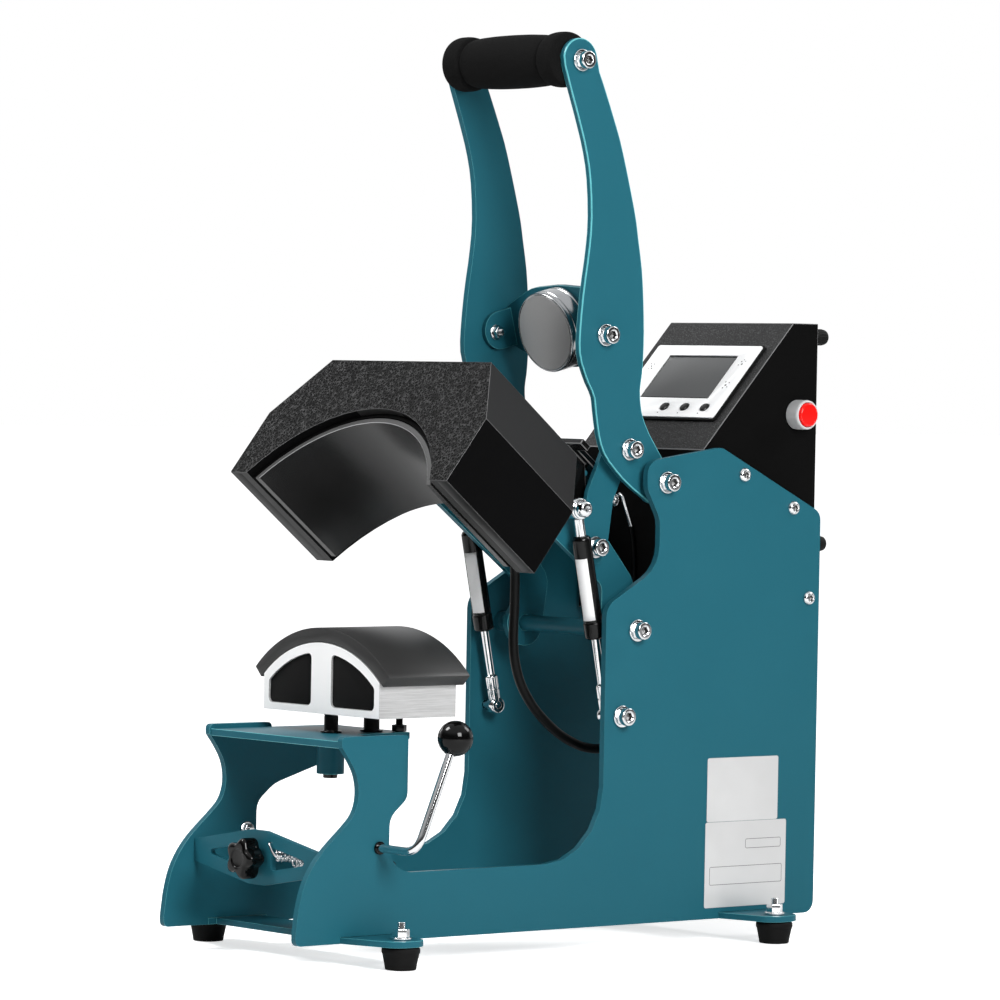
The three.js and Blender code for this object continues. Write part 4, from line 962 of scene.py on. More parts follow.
@dataclass
class Fasteners:
    """Socket bolts, nuts and screws."""

    shop: Workshop
    washer: float = 8.0
    washer_thickness: float = 2.0
    neck: float = 4.9
    neck_length: float = 2.6
    head: float = 6.4
    head_length: float = 4.9
    key: float = 2.9
    key_depth: float = 4.0
    face_gap: float = 0.25
    swing_arm_face: float = 55.4
    handle_arm_face: float = 67.7

    def bolt(self, name: str, body: str, place: Vector, axis: Vector, *replaced: str, shank: float = 0.0,
             shank_radius: float = 4.8, size: float = 1.0) -> None:
        """Makes a socket bolt with its washer.

        Args:
            name: the piece's name.
            body: the body that it rides on.
            place: the middle of the face that it stands on.
            axis: the way that its head points.
            replaced: the CAD nodes that it stands for.
            shank: how far it reaches inwards, in millimetres.
            shank_radius: the shank's radius, in millimetres.
            size: a factor on its other sizes.
        """
        lift = self.face_gap
        washer_top = lift + self.washer_thickness * size
        neck_top = washer_top + self.neck_length * size
        top = neck_top + self.head_length * size
        start = [(0.0, -shank), (shank_radius, -shank, 0.5), (shank_radius, lift)] if shank else [(0.0, lift)]
        profile = [*start, (self.washer * size, lift, 0.4), (self.washer * size, washer_top, 0.7),
                   (self.neck * size, washer_top), (self.neck * size, neck_top),
                   (self.head * size, neck_top, 0.6), (self.head * size, top, 1.0),
                   ((self.key + 0.9) * size, top, 0.3), (self.key * size, top - 0.6),
                   (self.key * size, top - self.key_depth * size), (0.0, top - (self.key_depth + 0.8) * size)]

        def shape(radius: float, height: float, angle: float) -> float:
            """Makes the neck and the socket hexagons.

            Args:
                radius: the point's radius.
                height: its height.
                angle: its angle.

            Returns:
                Its new radius.
            """
            is_neck = abs(radius - self.neck * size) < 1e-3 and height > washer_top - 1e-3
            is_key = abs(radius - self.key * size) < 1e-3 and height > neck_top
            return hexagon(radius, angle) if is_neck or is_key else radius

        bolt = self.shop.lathe(name, profile, place, axis, 48, shape)
        self.shop.dress(bolt, CHROME, body, *replaced)
        # The socket recess gets painted shade.
        self.shop.darken(bolt, RECESS_PAINTED_SHADE, place + axis * (top - 0.7 * size) * MM, axis,
                         self.key * size * 1.2)

    def button(self, name: str, place: Vector, axis: Vector, radius: float = 5.3) -> None:
        """Makes a low button-headed screw with a hexagon recess, on the frame.

        Args:
            name: the piece's name.
            place: the middle of the face that it stands on.
            axis: the way that its head points.
            radius: the head's radius, in millimetres.
        """
        key, top = radius * 0.42, radius * 0.66
        profile = [(0.0, 0.2), (radius, 0.2, 0.2), (radius, top * 0.35, 0.6),
                   (radius * 0.82, top * 0.85, 0.8), (key + 0.7, top, 0.3), (key, top - 0.3),
                   (key, top - 2.2), (0.0, top - 2.6)]
        screw = self.shop.lathe(name, profile, place, axis, 48, hexed((key - 1e-3, key + 1e-3)))
        self.shop.dress(screw, CHROME, "frame")
        # The socket recess gets painted shade.
        self.shop.darken(screw, RECESS_PAINTED_SHADE, place + axis * (top - 0.4) * MM, axis, key * 1.25)

    def nut(self, name: str, body: str, place: Vector, axis: Vector, size: float = 1.0,
            stud: float = 3.0) -> None:
        """Makes a washer, a hexagon nut and the stud's end over it.

        Args:
            name: the piece's name.
            body: the body that it rides on.
            place: the middle of the face that it stands on.
            axis: the way that the stud points.
            size: a factor on its sizes.
            stud: how far the stud stands over the nut, in millimetres.
        """
        washer, flat, rod = 7.0 * size, 4.9 * size, 2.8 * size
        low, mid, high = 0.2, 1.8 * size, 7.4 * size
        threads = [(rod - (0.35 if k % 2 else 0.0), high + 0.35 * k) for k in range(int(stud / 0.35))]
        profile = [(0.0, low), (washer, low, 0.3), (washer, mid, 0.4), (flat, mid), (flat, high, 0.5),
                   *threads, (0.0, high + stud)]
        shape = hexed((flat - 1.0, flat + 1.0), (mid - 1e-3, high + 1e-3))
        self.shop.dress(self.shop.lathe(name, profile, place, axis, 48, shape), CHROME, body)

    def screw(self, name: str, body: str, place: Vector, axis: Vector, finish: Finish,
              radius: float = 3.6) -> None:
        """Makes a low round-headed screw with a cross recess.

        Args:
            name: the piece's name.
            body: the body that it rides on.
            place: the middle of the face that it stands on.
            axis: the way that its head points.
            finish: its finish.
            radius: the head's radius, in millimetres.
        """
        height = radius * 0.62
        cross = fluted(4, 0.55, (0.0, radius * 0.45))
        profile = [(0.0, 0.1), (radius, 0.1, 0.3), (radius * 0.96, height * 0.5, 0.8),
                   (radius * 0.6, height, 0.4), (radius * 0.4, height), (radius * 0.3, height * 0.45),
                   (0.0, height * 0.35)]
        self.shop.dress(self.shop.lathe(name, profile, place, axis, 40, cross), finish, body)

    def build(self) -> None:
        """Fits every bolt, nut and screw that the press shows."""
        pivots = (("handle_pivot", "handle_pivot_bolt", "frame", PLATE_FACE, 16.6, 4.8),
                  ("gas_foot", "gas_stud_lower", "frame", PLATE_FACE, 20.4, 2.9),
                  ("link_foot", "link_bolt", "platen", self.swing_arm_face, 9.1, 4.8))
        for side, word in PAIR:
            out = Vector((side, 0, 0))
            for name, node, body, x, shank, radius in pivots:
                middle = centre_of(f"{node}_right") - AXLE
                self.bolt(f"{name}_{word}", body, at(side * x, middle.y / MM, middle.z / MM), out,
                          f"{node}_{word}", shank=shank, shank_radius=radius)
            self.bolt(f"axle_bolt_{word}", "frame", at(side * PLATE_FACE, 0, 0), out)
            for name, y, z in (("link_head", -0.6, 130.9), ("yoke", -25.7, 213.5), ("grip", -53.4, 410.4)):
                self.bolt(f"{name}_bolt_{word}", "handle", at(side * self.handle_arm_face, y, z), out)
            self.nut(f"yoke_nut_{word}", "handle", at(side * 58.4, -23.5, 215.0), -out, 0.8, 4.0)
            for k, (y, z) in enumerate(((102.6, 113.0), (152.5, 88.6), (169.6, 21.5)), 1):
                self.button(f"box_screw_{k}_{word}", at(side * PLATE_FACE, y, z), out)
            for depth_word, y in (("front", -240.0), ("rear", 112.0)):
                self.nut(f"foot_nut_{depth_word}_{word}", "frame", at(side * 111, y, -209), Vector((0, 0, 1)),
                         1.05, 5.0)


@dataclass
class TealPlates:
    """The laser-cut, powder-coated plates, with their arrises rounded and painted lighter as highlights."""

    shop: Workshop
    rounding: float = 0.9

    def build(self) -> None:
        """Dresses the plates."""
        names = ["front_cross_plate", "rear_cross_plate", "shelf", "pressure_bracket", "magnet_yoke"]
        for _, word in PAIR:
            names += [f"side_plate_{word}", f"swing_arm_{word}", f"link_{word}", f"handle_arm_{word}"]
        for name in names:
            # The rounded arrises get the lighter teal, a painted highlight.
            self.shop.soften(name, TEAL, self.rounding, TEAL_ARRIS_HIGHLIGHT)
        self.axle()

    def axle(self) -> None:
        """Makes the round axle with a collar inside each plate."""
        radius, end = 5.8, 73.6
        profile = [(0.0, -end), (radius + 1.6, -end, 0.4), (radius + 1.6, -end + 5, 0.8),
                   (radius, -end + 6, 0.4), (radius, end - 6, 0.4), (radius + 1.6, end - 5, 0.8),
                   (radius + 1.6, end, 0.4), (0.0, end)]
        axle = self.shop.lathe("axle_tube", profile, at(0, 0, 0), Vector((1, 0, 0)), 40)
        self.shop.dress(axle, TEAL, "frame", "swing_axle")


@dataclass
class Feet:
    """The rubber feet, each with the stud that holds it."""

    shop: Workshop
    radii: Span = (13.5, 10.8)
    height: float = 16.3

    def build(self) -> None:
        """Makes the four feet."""
        wide, narrow = self.radii
        for depth in ("front", "rear"):
            for _, word in PAIR:
                node = f"foot_{depth}_{word}"
                low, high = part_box(node)
                top = Vector(((low[0] + high[0]) / 2, (low[1] + high[1]) / 2, low[2] + self.height * MM))
                profile = [(0.0, -self.height), (narrow - 3, -self.height, 0.5),
                           (narrow - 1.5, -self.height + 0.8, 0.4), (narrow, -self.height + 0.2, 0.8),
                           (narrow + 0.6, -self.height * 0.75, 0.8), (wide - 0.6, -self.height * 0.3, 1.0),
                           (wide, -self.height * 0.24, 1.0), (wide, -1.0, 0.9), (wide - 1.4, -0.2, 0.4),
                           (4.0, -0.2), (3.9, 4.6), (0.0, 4.6)]
                foot = self.shop.lathe(f"{node}_rubber", profile, top, Vector((0, 0, 1)), 56)
                self.shop.dress(foot, RUBBER, "frame", node)


@dataclass
class LowerBlock:
    """The aluminium block with its two dark pockets, the pad and the posts that carry it."""

    shop: Workshop
    front: float = -227.4
    pocket_inner: float = 11.5
    pocket_outer: float = 60.5
    pocket_depth: float = 4.5
    floor: float = -53.9
    arch_centre: float = ARCH_CENTRE
    arch_radius: float = 93.0
    pad_radii: Span = (100.3, 110.5)
    pad_angle: float = math.radians(44.3)
    pad_back: float = -154.0
    pad_gap: float = 0.1

    def build(self) -> None:
        """Makes the block, the pad and the posts."""
        # The block's rounded arrises get a painted highlight.
        self.shop.soften("lower_block", ALUMINIUM, 0.5, ALUMINIUM_ARRIS_HIGHLIGHT,
                         lambda normal: ALUMINIUM_FACE if normal.y < -0.98 else None)
        for side, word in PAIR:
            self.pocket(side, word)
        self.pad()
        self.posts()

    def pocket(self, side: int, word: str) -> None:
        """Closes a pocket with its dark plate.

        Args:
            side: 1 on the right, -1 on the left.
            word: its name.
        """
        inner, outer, clear = self.pocket_inner, self.pocket_outer, 0.15
        xs = [inner + (outer - inner) * k / 10 for k in range(11)]
        roof = [(side * x, self.arch_centre + math.sqrt(self.arch_radius ** 2 - x ** 2) - clear) for x in xs]
        outline = [(side * outer, self.floor + clear), (side * inner, self.floor + clear), *roof]
        plate = self.shop.slab(f"pocket_plate_{word}", outline, at(0, self.front + self.pocket_depth, 0),
                               Vector((1, 0, 0)), Vector((0, 0, 1)), 3.0, 0.3)
        self.shop.dress(plate, POCKET, "frame")

    def pad(self) -> None:
        """Makes the silicone pad with its soft arrises."""
        inner, outer = self.pad_radii
        steps = 48
        angles = [self.pad_angle * (1 - 2 * k / steps) for k in range(steps + 1)]
        outline = [(outer * math.sin(a), self.arch_centre + outer * math.cos(a)) for a in angles]
        inner += self.pad_gap
        outline += [(inner * math.sin(a), self.arch_centre + inner * math.cos(a)) for a in reversed(angles)]
        pad = self.shop.slab("pad_sponge", outline, at(0, self.pad_back, 0), Vector((1, 0, 0)),
                             Vector((0, 0, 1)), self.pad_back - self.front, 0.7)
        self.shop.dress(pad, SILICONE, "frame", "silicone_pad")

    def posts(self) -> None:
        """Makes the two posts with their flanges, and the levelling screw."""
        shelf, top = -73.0, -59.5
        for name, node, x, y, radius, bottom in (("block_post_front", "front_post", 0.0, -217.6, 5.1, -105.0),
                                                 ("block_post_rear", "rear_post", 2.0, -182.5, 5.75, -86.0)):
            profile = [(0.0, bottom), (radius, bottom, 0.5), (radius, shelf + 0.3),
                       (radius + 2.6, shelf + 0.3, 0.3), (radius + 2.6, shelf + 1.4, 0.4),
                       (radius, shelf + 1.8, 0.3), (radius, top - 1.6, 0.3), (radius - 0.5, top - 1.2, 0.2),
                       (radius, top - 0.8, 0.2), (radius, top), (0.0, top)]
            post = self.shop.lathe(name, profile, at(x, y, 0), Vector((0, 0, 1)), 48)
            self.shop.dress(post, BLACK_GLOSS, "frame", node)
        low, nut = -88.0, 5.2
        threads = [(2.75 - (0.4 if k % 2 else 0.0), shelf + 5.2 + 0.4 * k) for k in range(21)]
        profile = [(0.0, low), (2.75, low, 0.3), (2.75, shelf + 0.3), (nut, shelf + 0.3, 0.3),
                   (nut, shelf + 4.9, 0.4), *threads, (2.75, top), (0.0, top)]
        screw = self.shop.lathe("levelling_screw", profile, at(10, -163.5, 0), Vector((0, 0, 1)), 48,
                                hexed((4.0, math.inf), ANY, 0.9))
        self.shop.dress(screw, BLACK_GLOSS, "frame", "adjusting_screw")


@dataclass
class PressureSetting:
    """The star knob, the pull springs with their bar, and the ball lever."""

    shop: Workshop
    bracket_depth: float = -280.0
    bracket_height: float = -158.9
    spring_across: float = 26.5
    spring_radius: float = 4.9
    wire: float = 0.8
    pitch: float = 3.5
    bar: Span = (-218.5, -161.5)
    bar_radius: float = 3.0

    def build(self) -> None:
        """Makes the pieces round the bracket."""
        self.knob()
        for side, word in PAIR:
            spring = self.shop.tube(f"spring_{word}", self.spring_route(side), self.wire, 10)
            self.shop.dress(spring, CHROME, "frame", f"pull_spring_{word}")
        end, r = 73.6, self.bar_radius
        profile = [(0.0, -end), (r, -end, 0.3), (r, -23.0, 0.2), (r - 0.4, -22.6), (r - 0.4, 22.6),
                   (r, 23.0, 0.2), (r, end, 0.3), (0.0, end)]
        bar = self.shop.lathe("spring_rod", profile, at(0, *self.bar), Vector((1, 0, 0)), 32)
        self.shop.dress(bar, BLACK_GLOSS, "frame", "spring_bar")
        self.lever()

    def spring_route(self, side: int) -> list[Vector]:
        """Gives a pull spring's centre line: hook, helix, hook.

        Args:
            side: 1 on the right, -1 on the left.

        Returns:
            Its points, in metres.
        """
        face = 2 + 0.3 + self.wire
        hole_across, hole_up = 14.5, 11.0
        step, drop = (self.spring_across - hole_across) / 4, hole_up / 4

        def place(x: float, y: float, z: float) -> Vector:
            """Gives the place of a point that is measured from the bracket's middle."""
            return at(side * x, self.bracket_depth + y, self.bracket_height + z)

        hook = [place(hole_across, 2 * face, hole_up), place(hole_across, -face / 2, hole_up),
                place(hole_across + step / 2, -face, hole_up),
                place(hole_across + step, -face - self.wire, hole_up - drop / 2),
                place(hole_across + 2 * step, -face - self.wire, hole_up - 2 * drop),
                place(hole_across + 3 * step, -face, hole_up - 3 * drop),
                place(self.spring_across, 0, hole_up - 3 * drop),
                place(self.spring_across, face, hole_up - 3 * drop)]
        clear = self.bar_radius + 0.3 + 2 * self.wire
        first = place(self.spring_across, 3 * face, 0)
        last = at(side * self.spring_across, self.bar[0] - clear, self.bar[1])
        along = (last - first).normalized()
        lift = Vector((1, 0, 0)).cross(along)
        turns = 20
        curls = int(((last - first).length / MM - self.wire) / self.pitch)
        helix = []
        for k in range(curls * turns + 1):
            angle = 2 * math.pi * k / turns
            helix.append(first + (along * (self.wire + self.pitch * k / turns)
                                  + Vector((1, 0, 0)) * self.spring_radius * math.sin(angle)
                                  + lift * self.spring_radius * math.cos(angle)) * MM)
        rear = []
        for k in range(turns + 1):
            angle = math.pi * (1 - k / turns)
            rear.append(at(side * self.spring_across, self.bar[0] + clear * math.cos(angle),
                           self.bar[1] + clear * math.sin(angle)))
        return [*resampled(hook, 1.2 * MM), *helix, *rear]

    def knob(self) -> None:
        """Makes the five-lobed knob with its domed face."""
        lobes, share = 5, 0.13
        back = 2.3

        def shape(radius: float, _height: float, angle: float) -> float:
            """Draws the sides in between the lobes."""
            return radius * (1 - share + share * math.cos(lobes * angle)) if radius > 9 else radius

        profile = [(0.0, -3.5), (2.9, -3.5), (2.9, back), (7.8, back, 0.6), (8.2, back + 2.6, 0.8),
                   (14.4, back + 3.6, 1.4), (15.0, back + 6.0, 1.0), (15.0, back + 15.4, 1.8),
                   (12.6, back + 17.3, 1.6), (7.0, back + 17.3, 0.6), (6.2, back + 16.6, 0.3),
                   (0.0, back + 16.4)]
        knob = self.shop.lathe("star_grip", profile, at(0, self.bracket_depth, self.bracket_height),
                               Vector((0, -1, 0)), 100, shape)
        self.shop.dress(knob, BLACK_PLASTIC, "knob", "star_knob")

    def lever(self) -> None:
        """Makes the bent lever, its bush in the plate and its ball."""
        depth, height, across, tilt = -235.4, -148.0, 121.0, math.radians(22.7)
        bend, arm, radius, ball = 12.0, 84.7, 3.0, 12.5
        up = Vector((0, math.sin(tilt), math.cos(tilt)))
        corner, x = at(across, depth, height), Vector((1, 0, 0))
        before, after = corner - x * bend * MM, corner + up * bend * MM
        curve = [before * (1 - t) ** 2 + corner * 2 * t * (1 - t) + after * t ** 2
                 for t in (k / 12 for k in range(13))]
        tip = corner + up * arm * MM
        rod = self.shop.tube("lever_shaft", [at(62, depth, height), *curve, tip], radius, 24)
        self.shop.dress(rod, CHROME, "lever", "lever_rod")
        hole, rim = radius + 0.1, radius + 1.6
        collar = [(hole, 0.2), (rim, 0.2, 0.3), (rim, 2.0, 0.5), (hole, 2.0)]
        bush = self.shop.lathe("lever_bush", collar, at(PLATE_FACE, depth, height), x, 36)
        self.shop.dress(bush, BLACK_PLASTIC, "frame")
        self.fastened_end(depth, height)
        neck, low = 4.4, 10.9
        arc_from = math.asin(neck / ball)
        angles = [arc_from + (math.pi - arc_from) * k / 28 for k in range(28)]
        dome = [(ball * math.sin(a), -ball * math.cos(a)) for a in angles]
        profile = [(radius + 0.15, -low + 1.0), (radius + 0.15, -low - 0.6), (neck - 0.4, -low - 1.2, 0.3),
                   *dome, (0.0, ball)]
        grip = self.shop.lathe("lever_knob", profile, tip, up, 56)
        self.shop.dress(grip, BLACK_PLASTIC, "lever", "lever_ball")

    def fastened_end(self, depth: float, height: float) -> None:
        """Makes the small nut that the photograph shows on the left plate, in line with the lever.

        Args:
            depth: the lever's depth.
            height: the lever's height.
        """
        profile = [(0.0, 0.2), (5.4, 0.2, 0.3), (5.4, 1.2, 0.3), (3.8, 1.2), (3.8, 4.4, 0.5), (2.2, 4.6),
                   (2.2, 6.6, 0.5), (0.0, 6.6)]
        nut = self.shop.lathe("left_nut", profile, at(-74, depth, height + 2), Vector((1, 0, 0)), 48,
                              hexed((3.4, 3.9), (1.1, math.inf)))
        self.shop.dress(nut, CHROME, "frame")


@dataclass
class Platen:
    """The heated upper part: textured cover, liner and curved shell, and the armature behind them."""

    shop: Workshop
    arch_centre: float = ARCH_CENTRE
    shell_radii: Span = (112.0, 116.5)
    shell_ends: Span = (-232.0, -140.0)
    bottom: float = -50.5

    def build(self) -> None:
        """Dresses the platen."""
        c, s = math.cos(TILT), math.sin(TILT)
        front = Vector((0, -c, s))
        down = Vector((0, -s, -c))

        def face_finish(normal: Vector) -> Optional[Finish]:
            """Gives the finish of one of the cover's faces.

            Args:
                normal: the way that it faces.

            Returns:
                The coarse one in front, its ridges painted as highlights, the smooth one at the legs' ends,
                the lighter copy as painted light on the faces turned up, None where it is the plain coat.
            """
            if normal.dot(front) > 0.98:
                return BLACK_WRINKLE_RIDGE_HIGHLIGHTS
            if normal.dot(down) > 0.98:
                return HEM_COAT
            # Faces turned up get the cover coat painted lighter, as painted light.
            return COVER_COAT_PAINTED_LIGHT if normal.dot(down) < -0.2 else None

        # The cover's rounded arrises are painted lighter, as highlights.
        self.shop.soften("platen_cover", BLACK_COAT, 0.8, COVER_ARRIS_HIGHLIGHT, face_finish)
        self.hems()
        self.shop.soften("insulation_liner", LINER, 0.4)
        self.shell()
        # The armature's rounded arrises are painted lighter, as highlights.
        self.shop.soften("armature", BLACK_GLOSS, 0.7, ENAMEL_ARRIS_HIGHLIGHT)
        half = 45.6
        for z, finish, radius in ((117.6, CHROME, 1.7), (113.2, TEAL, 2.0)):
            profile = [(0.0, -half), (radius, -half, 0.3), (radius, half, 0.3), (0.0, half)]
            bar = self.shop.lathe(f"stay_bar_{finish.slot}", profile, at(0, -22.8, z), Vector((1, 0, 0)), 24)
            self.shop.dress(bar, finish, "platen")

    def hems(self) -> None:
        """Lays the folded lip along the end of each leg of the cover."""
        low, high, front, back = 112.0, 122.6, -236.6, -135.4
        behind = (opened(0, 1, 0) - opened(0, 0, 0)).normalized()
        for side, word in PAIR:
            inner, outer = side * low, side * high
            outline = [(inner, front), (outer, front), (outer, back), (inner, back)]
            lip = self.shop.slab(f"cover_lip_{word}", outline, opened(0, 0, self.bottom - 0.05),
                                 Vector((1, 0, 0)), behind, 1.1, 0.4)
            self.shop.dress(lip, HEM_COAT, "platen")

    def shell(self) -> None:
        """Makes the curved shell: dark inside, bare along its front edge, with a painted highlight on its
        inner front arris.
        """
        inner, outer = self.shell_radii
        front, back = self.shell_ends
        steps = 72
        bm = bmesh.new()
        rings = []
        soft = 0.7
        section = [(inner, back, 0), (inner, front + soft / 2, 0), (inner + soft / 2, front, 1),
                   (outer - soft, front, 2), (outer, front + soft, 2), (outer, back, 2)]
        for r, y, _ in section:
            half = math.acos((self.bottom + 0.3 - self.arch_centre) / r)
            angles = [half * (1 - 2 * k / steps) for k in range(steps + 1)]
            rings.append([bm.verts.new(opened(r * math.sin(a), y, self.arch_centre + r * math.cos(a)))
                          for a in angles])
        for i, ring in enumerate(rings):
            following = rings[(i + 1) % len(rings)]
            for k in range(steps):
                face = bm.faces.new((ring[k], ring[k + 1], following[k + 1], following[k]))
                face.material_index = section[(i + 1) % len(section)][2] if i < len(section) - 1 else 2
        for k in (0, steps):
            bm.faces.new([ring[k] for ring in rings]).material_index = 0
        shell = to_object("heated_shell", bm)
        self.shop.dress(shell, SHELL_COAT, "platen", "heating_shell")
        # The inner front rounding gets a painted highlight.
        shell.data.materials.append(SHELL_ARRIS_HIGHLIGHT.material(self.shop.effects))
        shell.data.materials.append(SHELL_RIM.material(self.shop.effects))


@dataclass
class GasSprings:
    """The two gas springs: eye, neck, labelled cylinder, collar, rod and ball socket."""

    shop: Workshop
    across: float = 62.8
    neck: float = 20.0
    cylinder: float = 76.0
    collar: float = 13.0
    radius: float = 7.2
    label: Span = (41.0, 45.5)
    label_facing: tuple[float, float, float] = (0.43, -0.9, 0.0)

    def build(self) -> None:
        """Makes both springs."""
        foot = pivot_of("gas_spring_tilt")
        eye = centre_of("gas_stud_upper_right")
        eye.x = AXLE.x
        up = (eye - foot).normalized()
        length = (eye - foot).length / MM
        for side, word in PAIR:
            origin = foot + Vector((side * self.across * MM, 0, 0))
            self.lower(word, origin, up, length)
            self.upper(word, side, origin, up, length)

    def lower(self, word: str, origin: Vector, up: Vector, length: float) -> None:
        """Makes the rod with its ferrule and ball socket.

        Args:
            word: the side's name.
            origin: the middle of the socket.
            up: the way to the eye.
            length: from the socket to the eye, in millimetres.
        """
        top = length - self.neck - self.cylinder + 26
        ferrule = [(0.0, 3.0), (4.3, 3.0, 0.6), (4.5, 9.0, 0.4), (4.5, 12.0), (4.1, 12.3), (4.1, 13.0),
                   (4.5, 13.3), (4.5, 22.4, 0.8), (3.0, 23.6), (2.95, 24.0), (2.95, top), (0.0, top)]
        rod = self.shop.lathe(f"rod_part_{word}", ferrule, origin, up, 60,
                              fluted(10, 0.03, (4.2, math.inf), (-math.inf, 22.0)))
        ring = [(3.6, -4.4), (5.4, -4.4, 0.8), (6.2, -2.6, 0.8), (6.2, 2.6, 0.8), (5.4, 4.4, 0.8), (3.6, 4.4)]
        socket = self.shop.lathe(f"socket_part_{word}", ring, origin, Vector((1, 0, 0)), 40)
        whole = self.shop.join(f"gas_spring_rod_{word}", (rod, socket))
        self.shop.dress(whole, CHROME, "gas_rods", f"gas_rod_{word}")

    def upper(self, word: str, side: int, origin: Vector, up: Vector, length: float) -> None:
        """Makes the cylinder with its collar and label, and the neck and eye over it.

        Args:
            word: the side's name.
            side: 1 on the right, -1 on the left.
            origin: the middle of the lower socket.
            up: the way to the eye.
            length: from the socket to the eye, in millimetres.
        """
        high = length - self.neck
        low, r = high - self.cylinder, self.radius
        body = [(3.2, low + 6.0), (3.2, low + 1.0), (r - 1.6, low, 0.5), (r + 0.2, low + 1.2, 0.8),
                (r + 0.2, low + self.collar - 1.2, 0.5), (r - 0.6, low + self.collar - 0.4, 0.2),
                (r - 0.2, low + self.collar + 0.4, 0.2), (r - 0.2, high - 2.4, 1.2),
                (r - 1.2, high - 0.6, 0.8), (4.2, high, 0.4), (0.0, high)]
        tube = self.shop.lathe(f"gas_spring_tube_{word}", body, origin, up, 48)
        self.shop.dress(tube, BLACK_GLOSS, "gas_cylinders", f"gas_cylinder_{word}")
        stem = [(0.0, high - 0.4), (3.7, high - 0.4, 0.3), (3.5, length - 6.5), (0.0, length - 6.5)]
        neck = self.shop.lathe(f"neck_part_{word}", stem, origin, up, 64, fluted(8, 0.07))
        x, eye = Vector((side, 0, 0)), origin + up * length * MM
        loop = [(5.3, -4.3), (7.4, -4.3, 0.7), (8.2, -3.0, 0.8), (8.2, 3.0, 0.8), (7.4, 4.3, 0.7), (5.3, 4.3)]
        ring = self.shop.lathe(f"eye_part_{word}", loop, eye, x, 48)
        self.shop.dress(self.shop.join(f"gas_spring_eye_{word}", (neck, ring)), CHROME, "gas_cylinders")
        inner = self.across - 46.0
        stud = [(0.0, -inner), (2.9, -inner, 0.3), (2.9, -5.0), (4.9, -5.0, 0.3), (4.9, 4.6), (7.2, 4.6, 0.3),
                (7.2, 5.8, 0.3), (6.2, 6.0), (6.2, 9.6, 1.2), (4.8, 11.4, 1.0), (2.2, 12.0, 0.3), (1.9, 10.6),
                (0.0, 10.4)]
        self.shop.dress(self.shop.lathe(f"gas_head_{word}", stud, eye, x, 48), CHROME, "platen",
                        f"gas_stud_upper_{word}")
        self.paper(word, origin, up, low + self.collar + 1.5)

    def paper(self, word: str, origin: Vector, up: Vector, start: float) -> None:
        """Wraps the bare white label round part of the cylinder.

        Args:
            word: the side's name.
            origin: the middle of the lower socket.
            up: the way to the eye.
            start: the height of its lower end, in millimetres.
        """
        facing = Vector(self.label_facing)
        facing = (facing - up * facing.dot(up)).normalized()
        other = up.cross(facing)
        height, half = self.label[1], math.radians(self.label[0])
        rows, columns = 8, 16
        radius = (self.radius - 0.1) * MM
        bm = bmesh.new()
        grid = []
        for j in range(rows + 1):
            line = []
            for i in range(columns + 1):
                angle = half * (2 * i / columns - 1)
                out = (facing * math.cos(angle) + other * math.sin(angle)) * radius
                line.append(bm.verts.new(origin + up * (start + height * j / rows) * MM + out))
            grid.append(line)
        for low, high in zip(grid, grid[1:]):
            for i in range(columns):
                bm.faces.new((low[i], low[i + 1], high[i + 1], high[i]))
        label = to_object(f"gas_label_{word}", bm)
        solid = label.modifiers.new("Paper thickness", "SOLIDIFY")
        solid.thickness = 0.12 * MM
        solid.offset = 1.0
        self.shop.dress(label, WHITE_LABEL, "gas_cylinders")


@dataclass
class Handle:
    """The foam grip and the electromagnet of the long handle."""

    shop: Workshop
    reach: float = 62.4
    magnet_tilt: float = math.radians(14.6)
    magnet_face: Span = (-25.4, 214.8)

    def build(self) -> None:
        """Makes the grip and the magnet."""
        e = self.reach
        half = [(0.0, -e), (14.5, -e, 0.6), (19.0, -e + 0.9, 1.4), (20.0, -e + 4.0, 2.0),
                (20.1, -e + 12.0, 3.0), (19.2, -e + 17.0, 1.4), (16.9, -e + 17.9, 0.5),
                (16.7, -e + 18.8, 0.5), (17.6, -e + 20.5, 1.0), (18.6, -e + 28.0, 3.0),
                (19.4, -e + 44.0, 6.0)]
        profile = [*half, (19.6, 0.0, 6.0), *[(r, -h, *rest) for r, h, *rest in reversed(half)]]
        grip = self.shop.lathe("foam_grip", profile, centre_of("handle_grip"), Vector((1, 0, 0)), 80)
        self.shop.dress(grip, FOAM, "handle", "handle_grip")
        self.magnet()

    def magnet(self) -> None:
        """Makes the magnet's pot, its ground face and the bolt at its back."""
        t = self.magnet_tilt
        face = at(0, *self.magnet_face)
        forward = Vector((0, -math.cos(t), -math.sin(t)))
        pot = [(27.9, -0.5), (28.6, 0.0, 0.2), (29.2, -0.2, 0.3), (29.9, -1.2, 0.5), (30.0, -3.4, 0.2),
               (29.5, -3.8), (29.5, -4.6), (30.0, -5.0, 0.2), (30.0, -14.0, 0.2), (29.4, -14.6),
               (29.4, -15.6), (30.0, -16.2, 0.2), (30.0, -19.4, 0.8), (0.0, -19.9)]
        body = self.shop.lathe("magnet_pot", pot[::-1], face, forward, 96)
        self.shop.dress(body, POT_STEEL, "handle", "electromagnet")
        disc = self.shop.lathe("magnet_pole", [(0.0, -1.5), (27.9, -1.5), (27.9, -0.2, 0.3), (0.0, -0.2)],
                               face, forward, 96)
        self.shop.dress(disc, GROUND_STEEL, "handle")
        back = face - forward * 24.4 * MM
        profile = [(0.0, 0.1), (9.0, 0.1, 0.3), (9.0, 1.4, 0.4), (6.6, 1.4), (6.6, 5.6, 0.6), (0.0, 5.9)]
        nut = self.shop.lathe("magnet_nut", profile, back, -forward, 48, hexed((5.0, 7.0), ANY, 0.92))
        self.shop.dress(nut, CHROME, "handle")


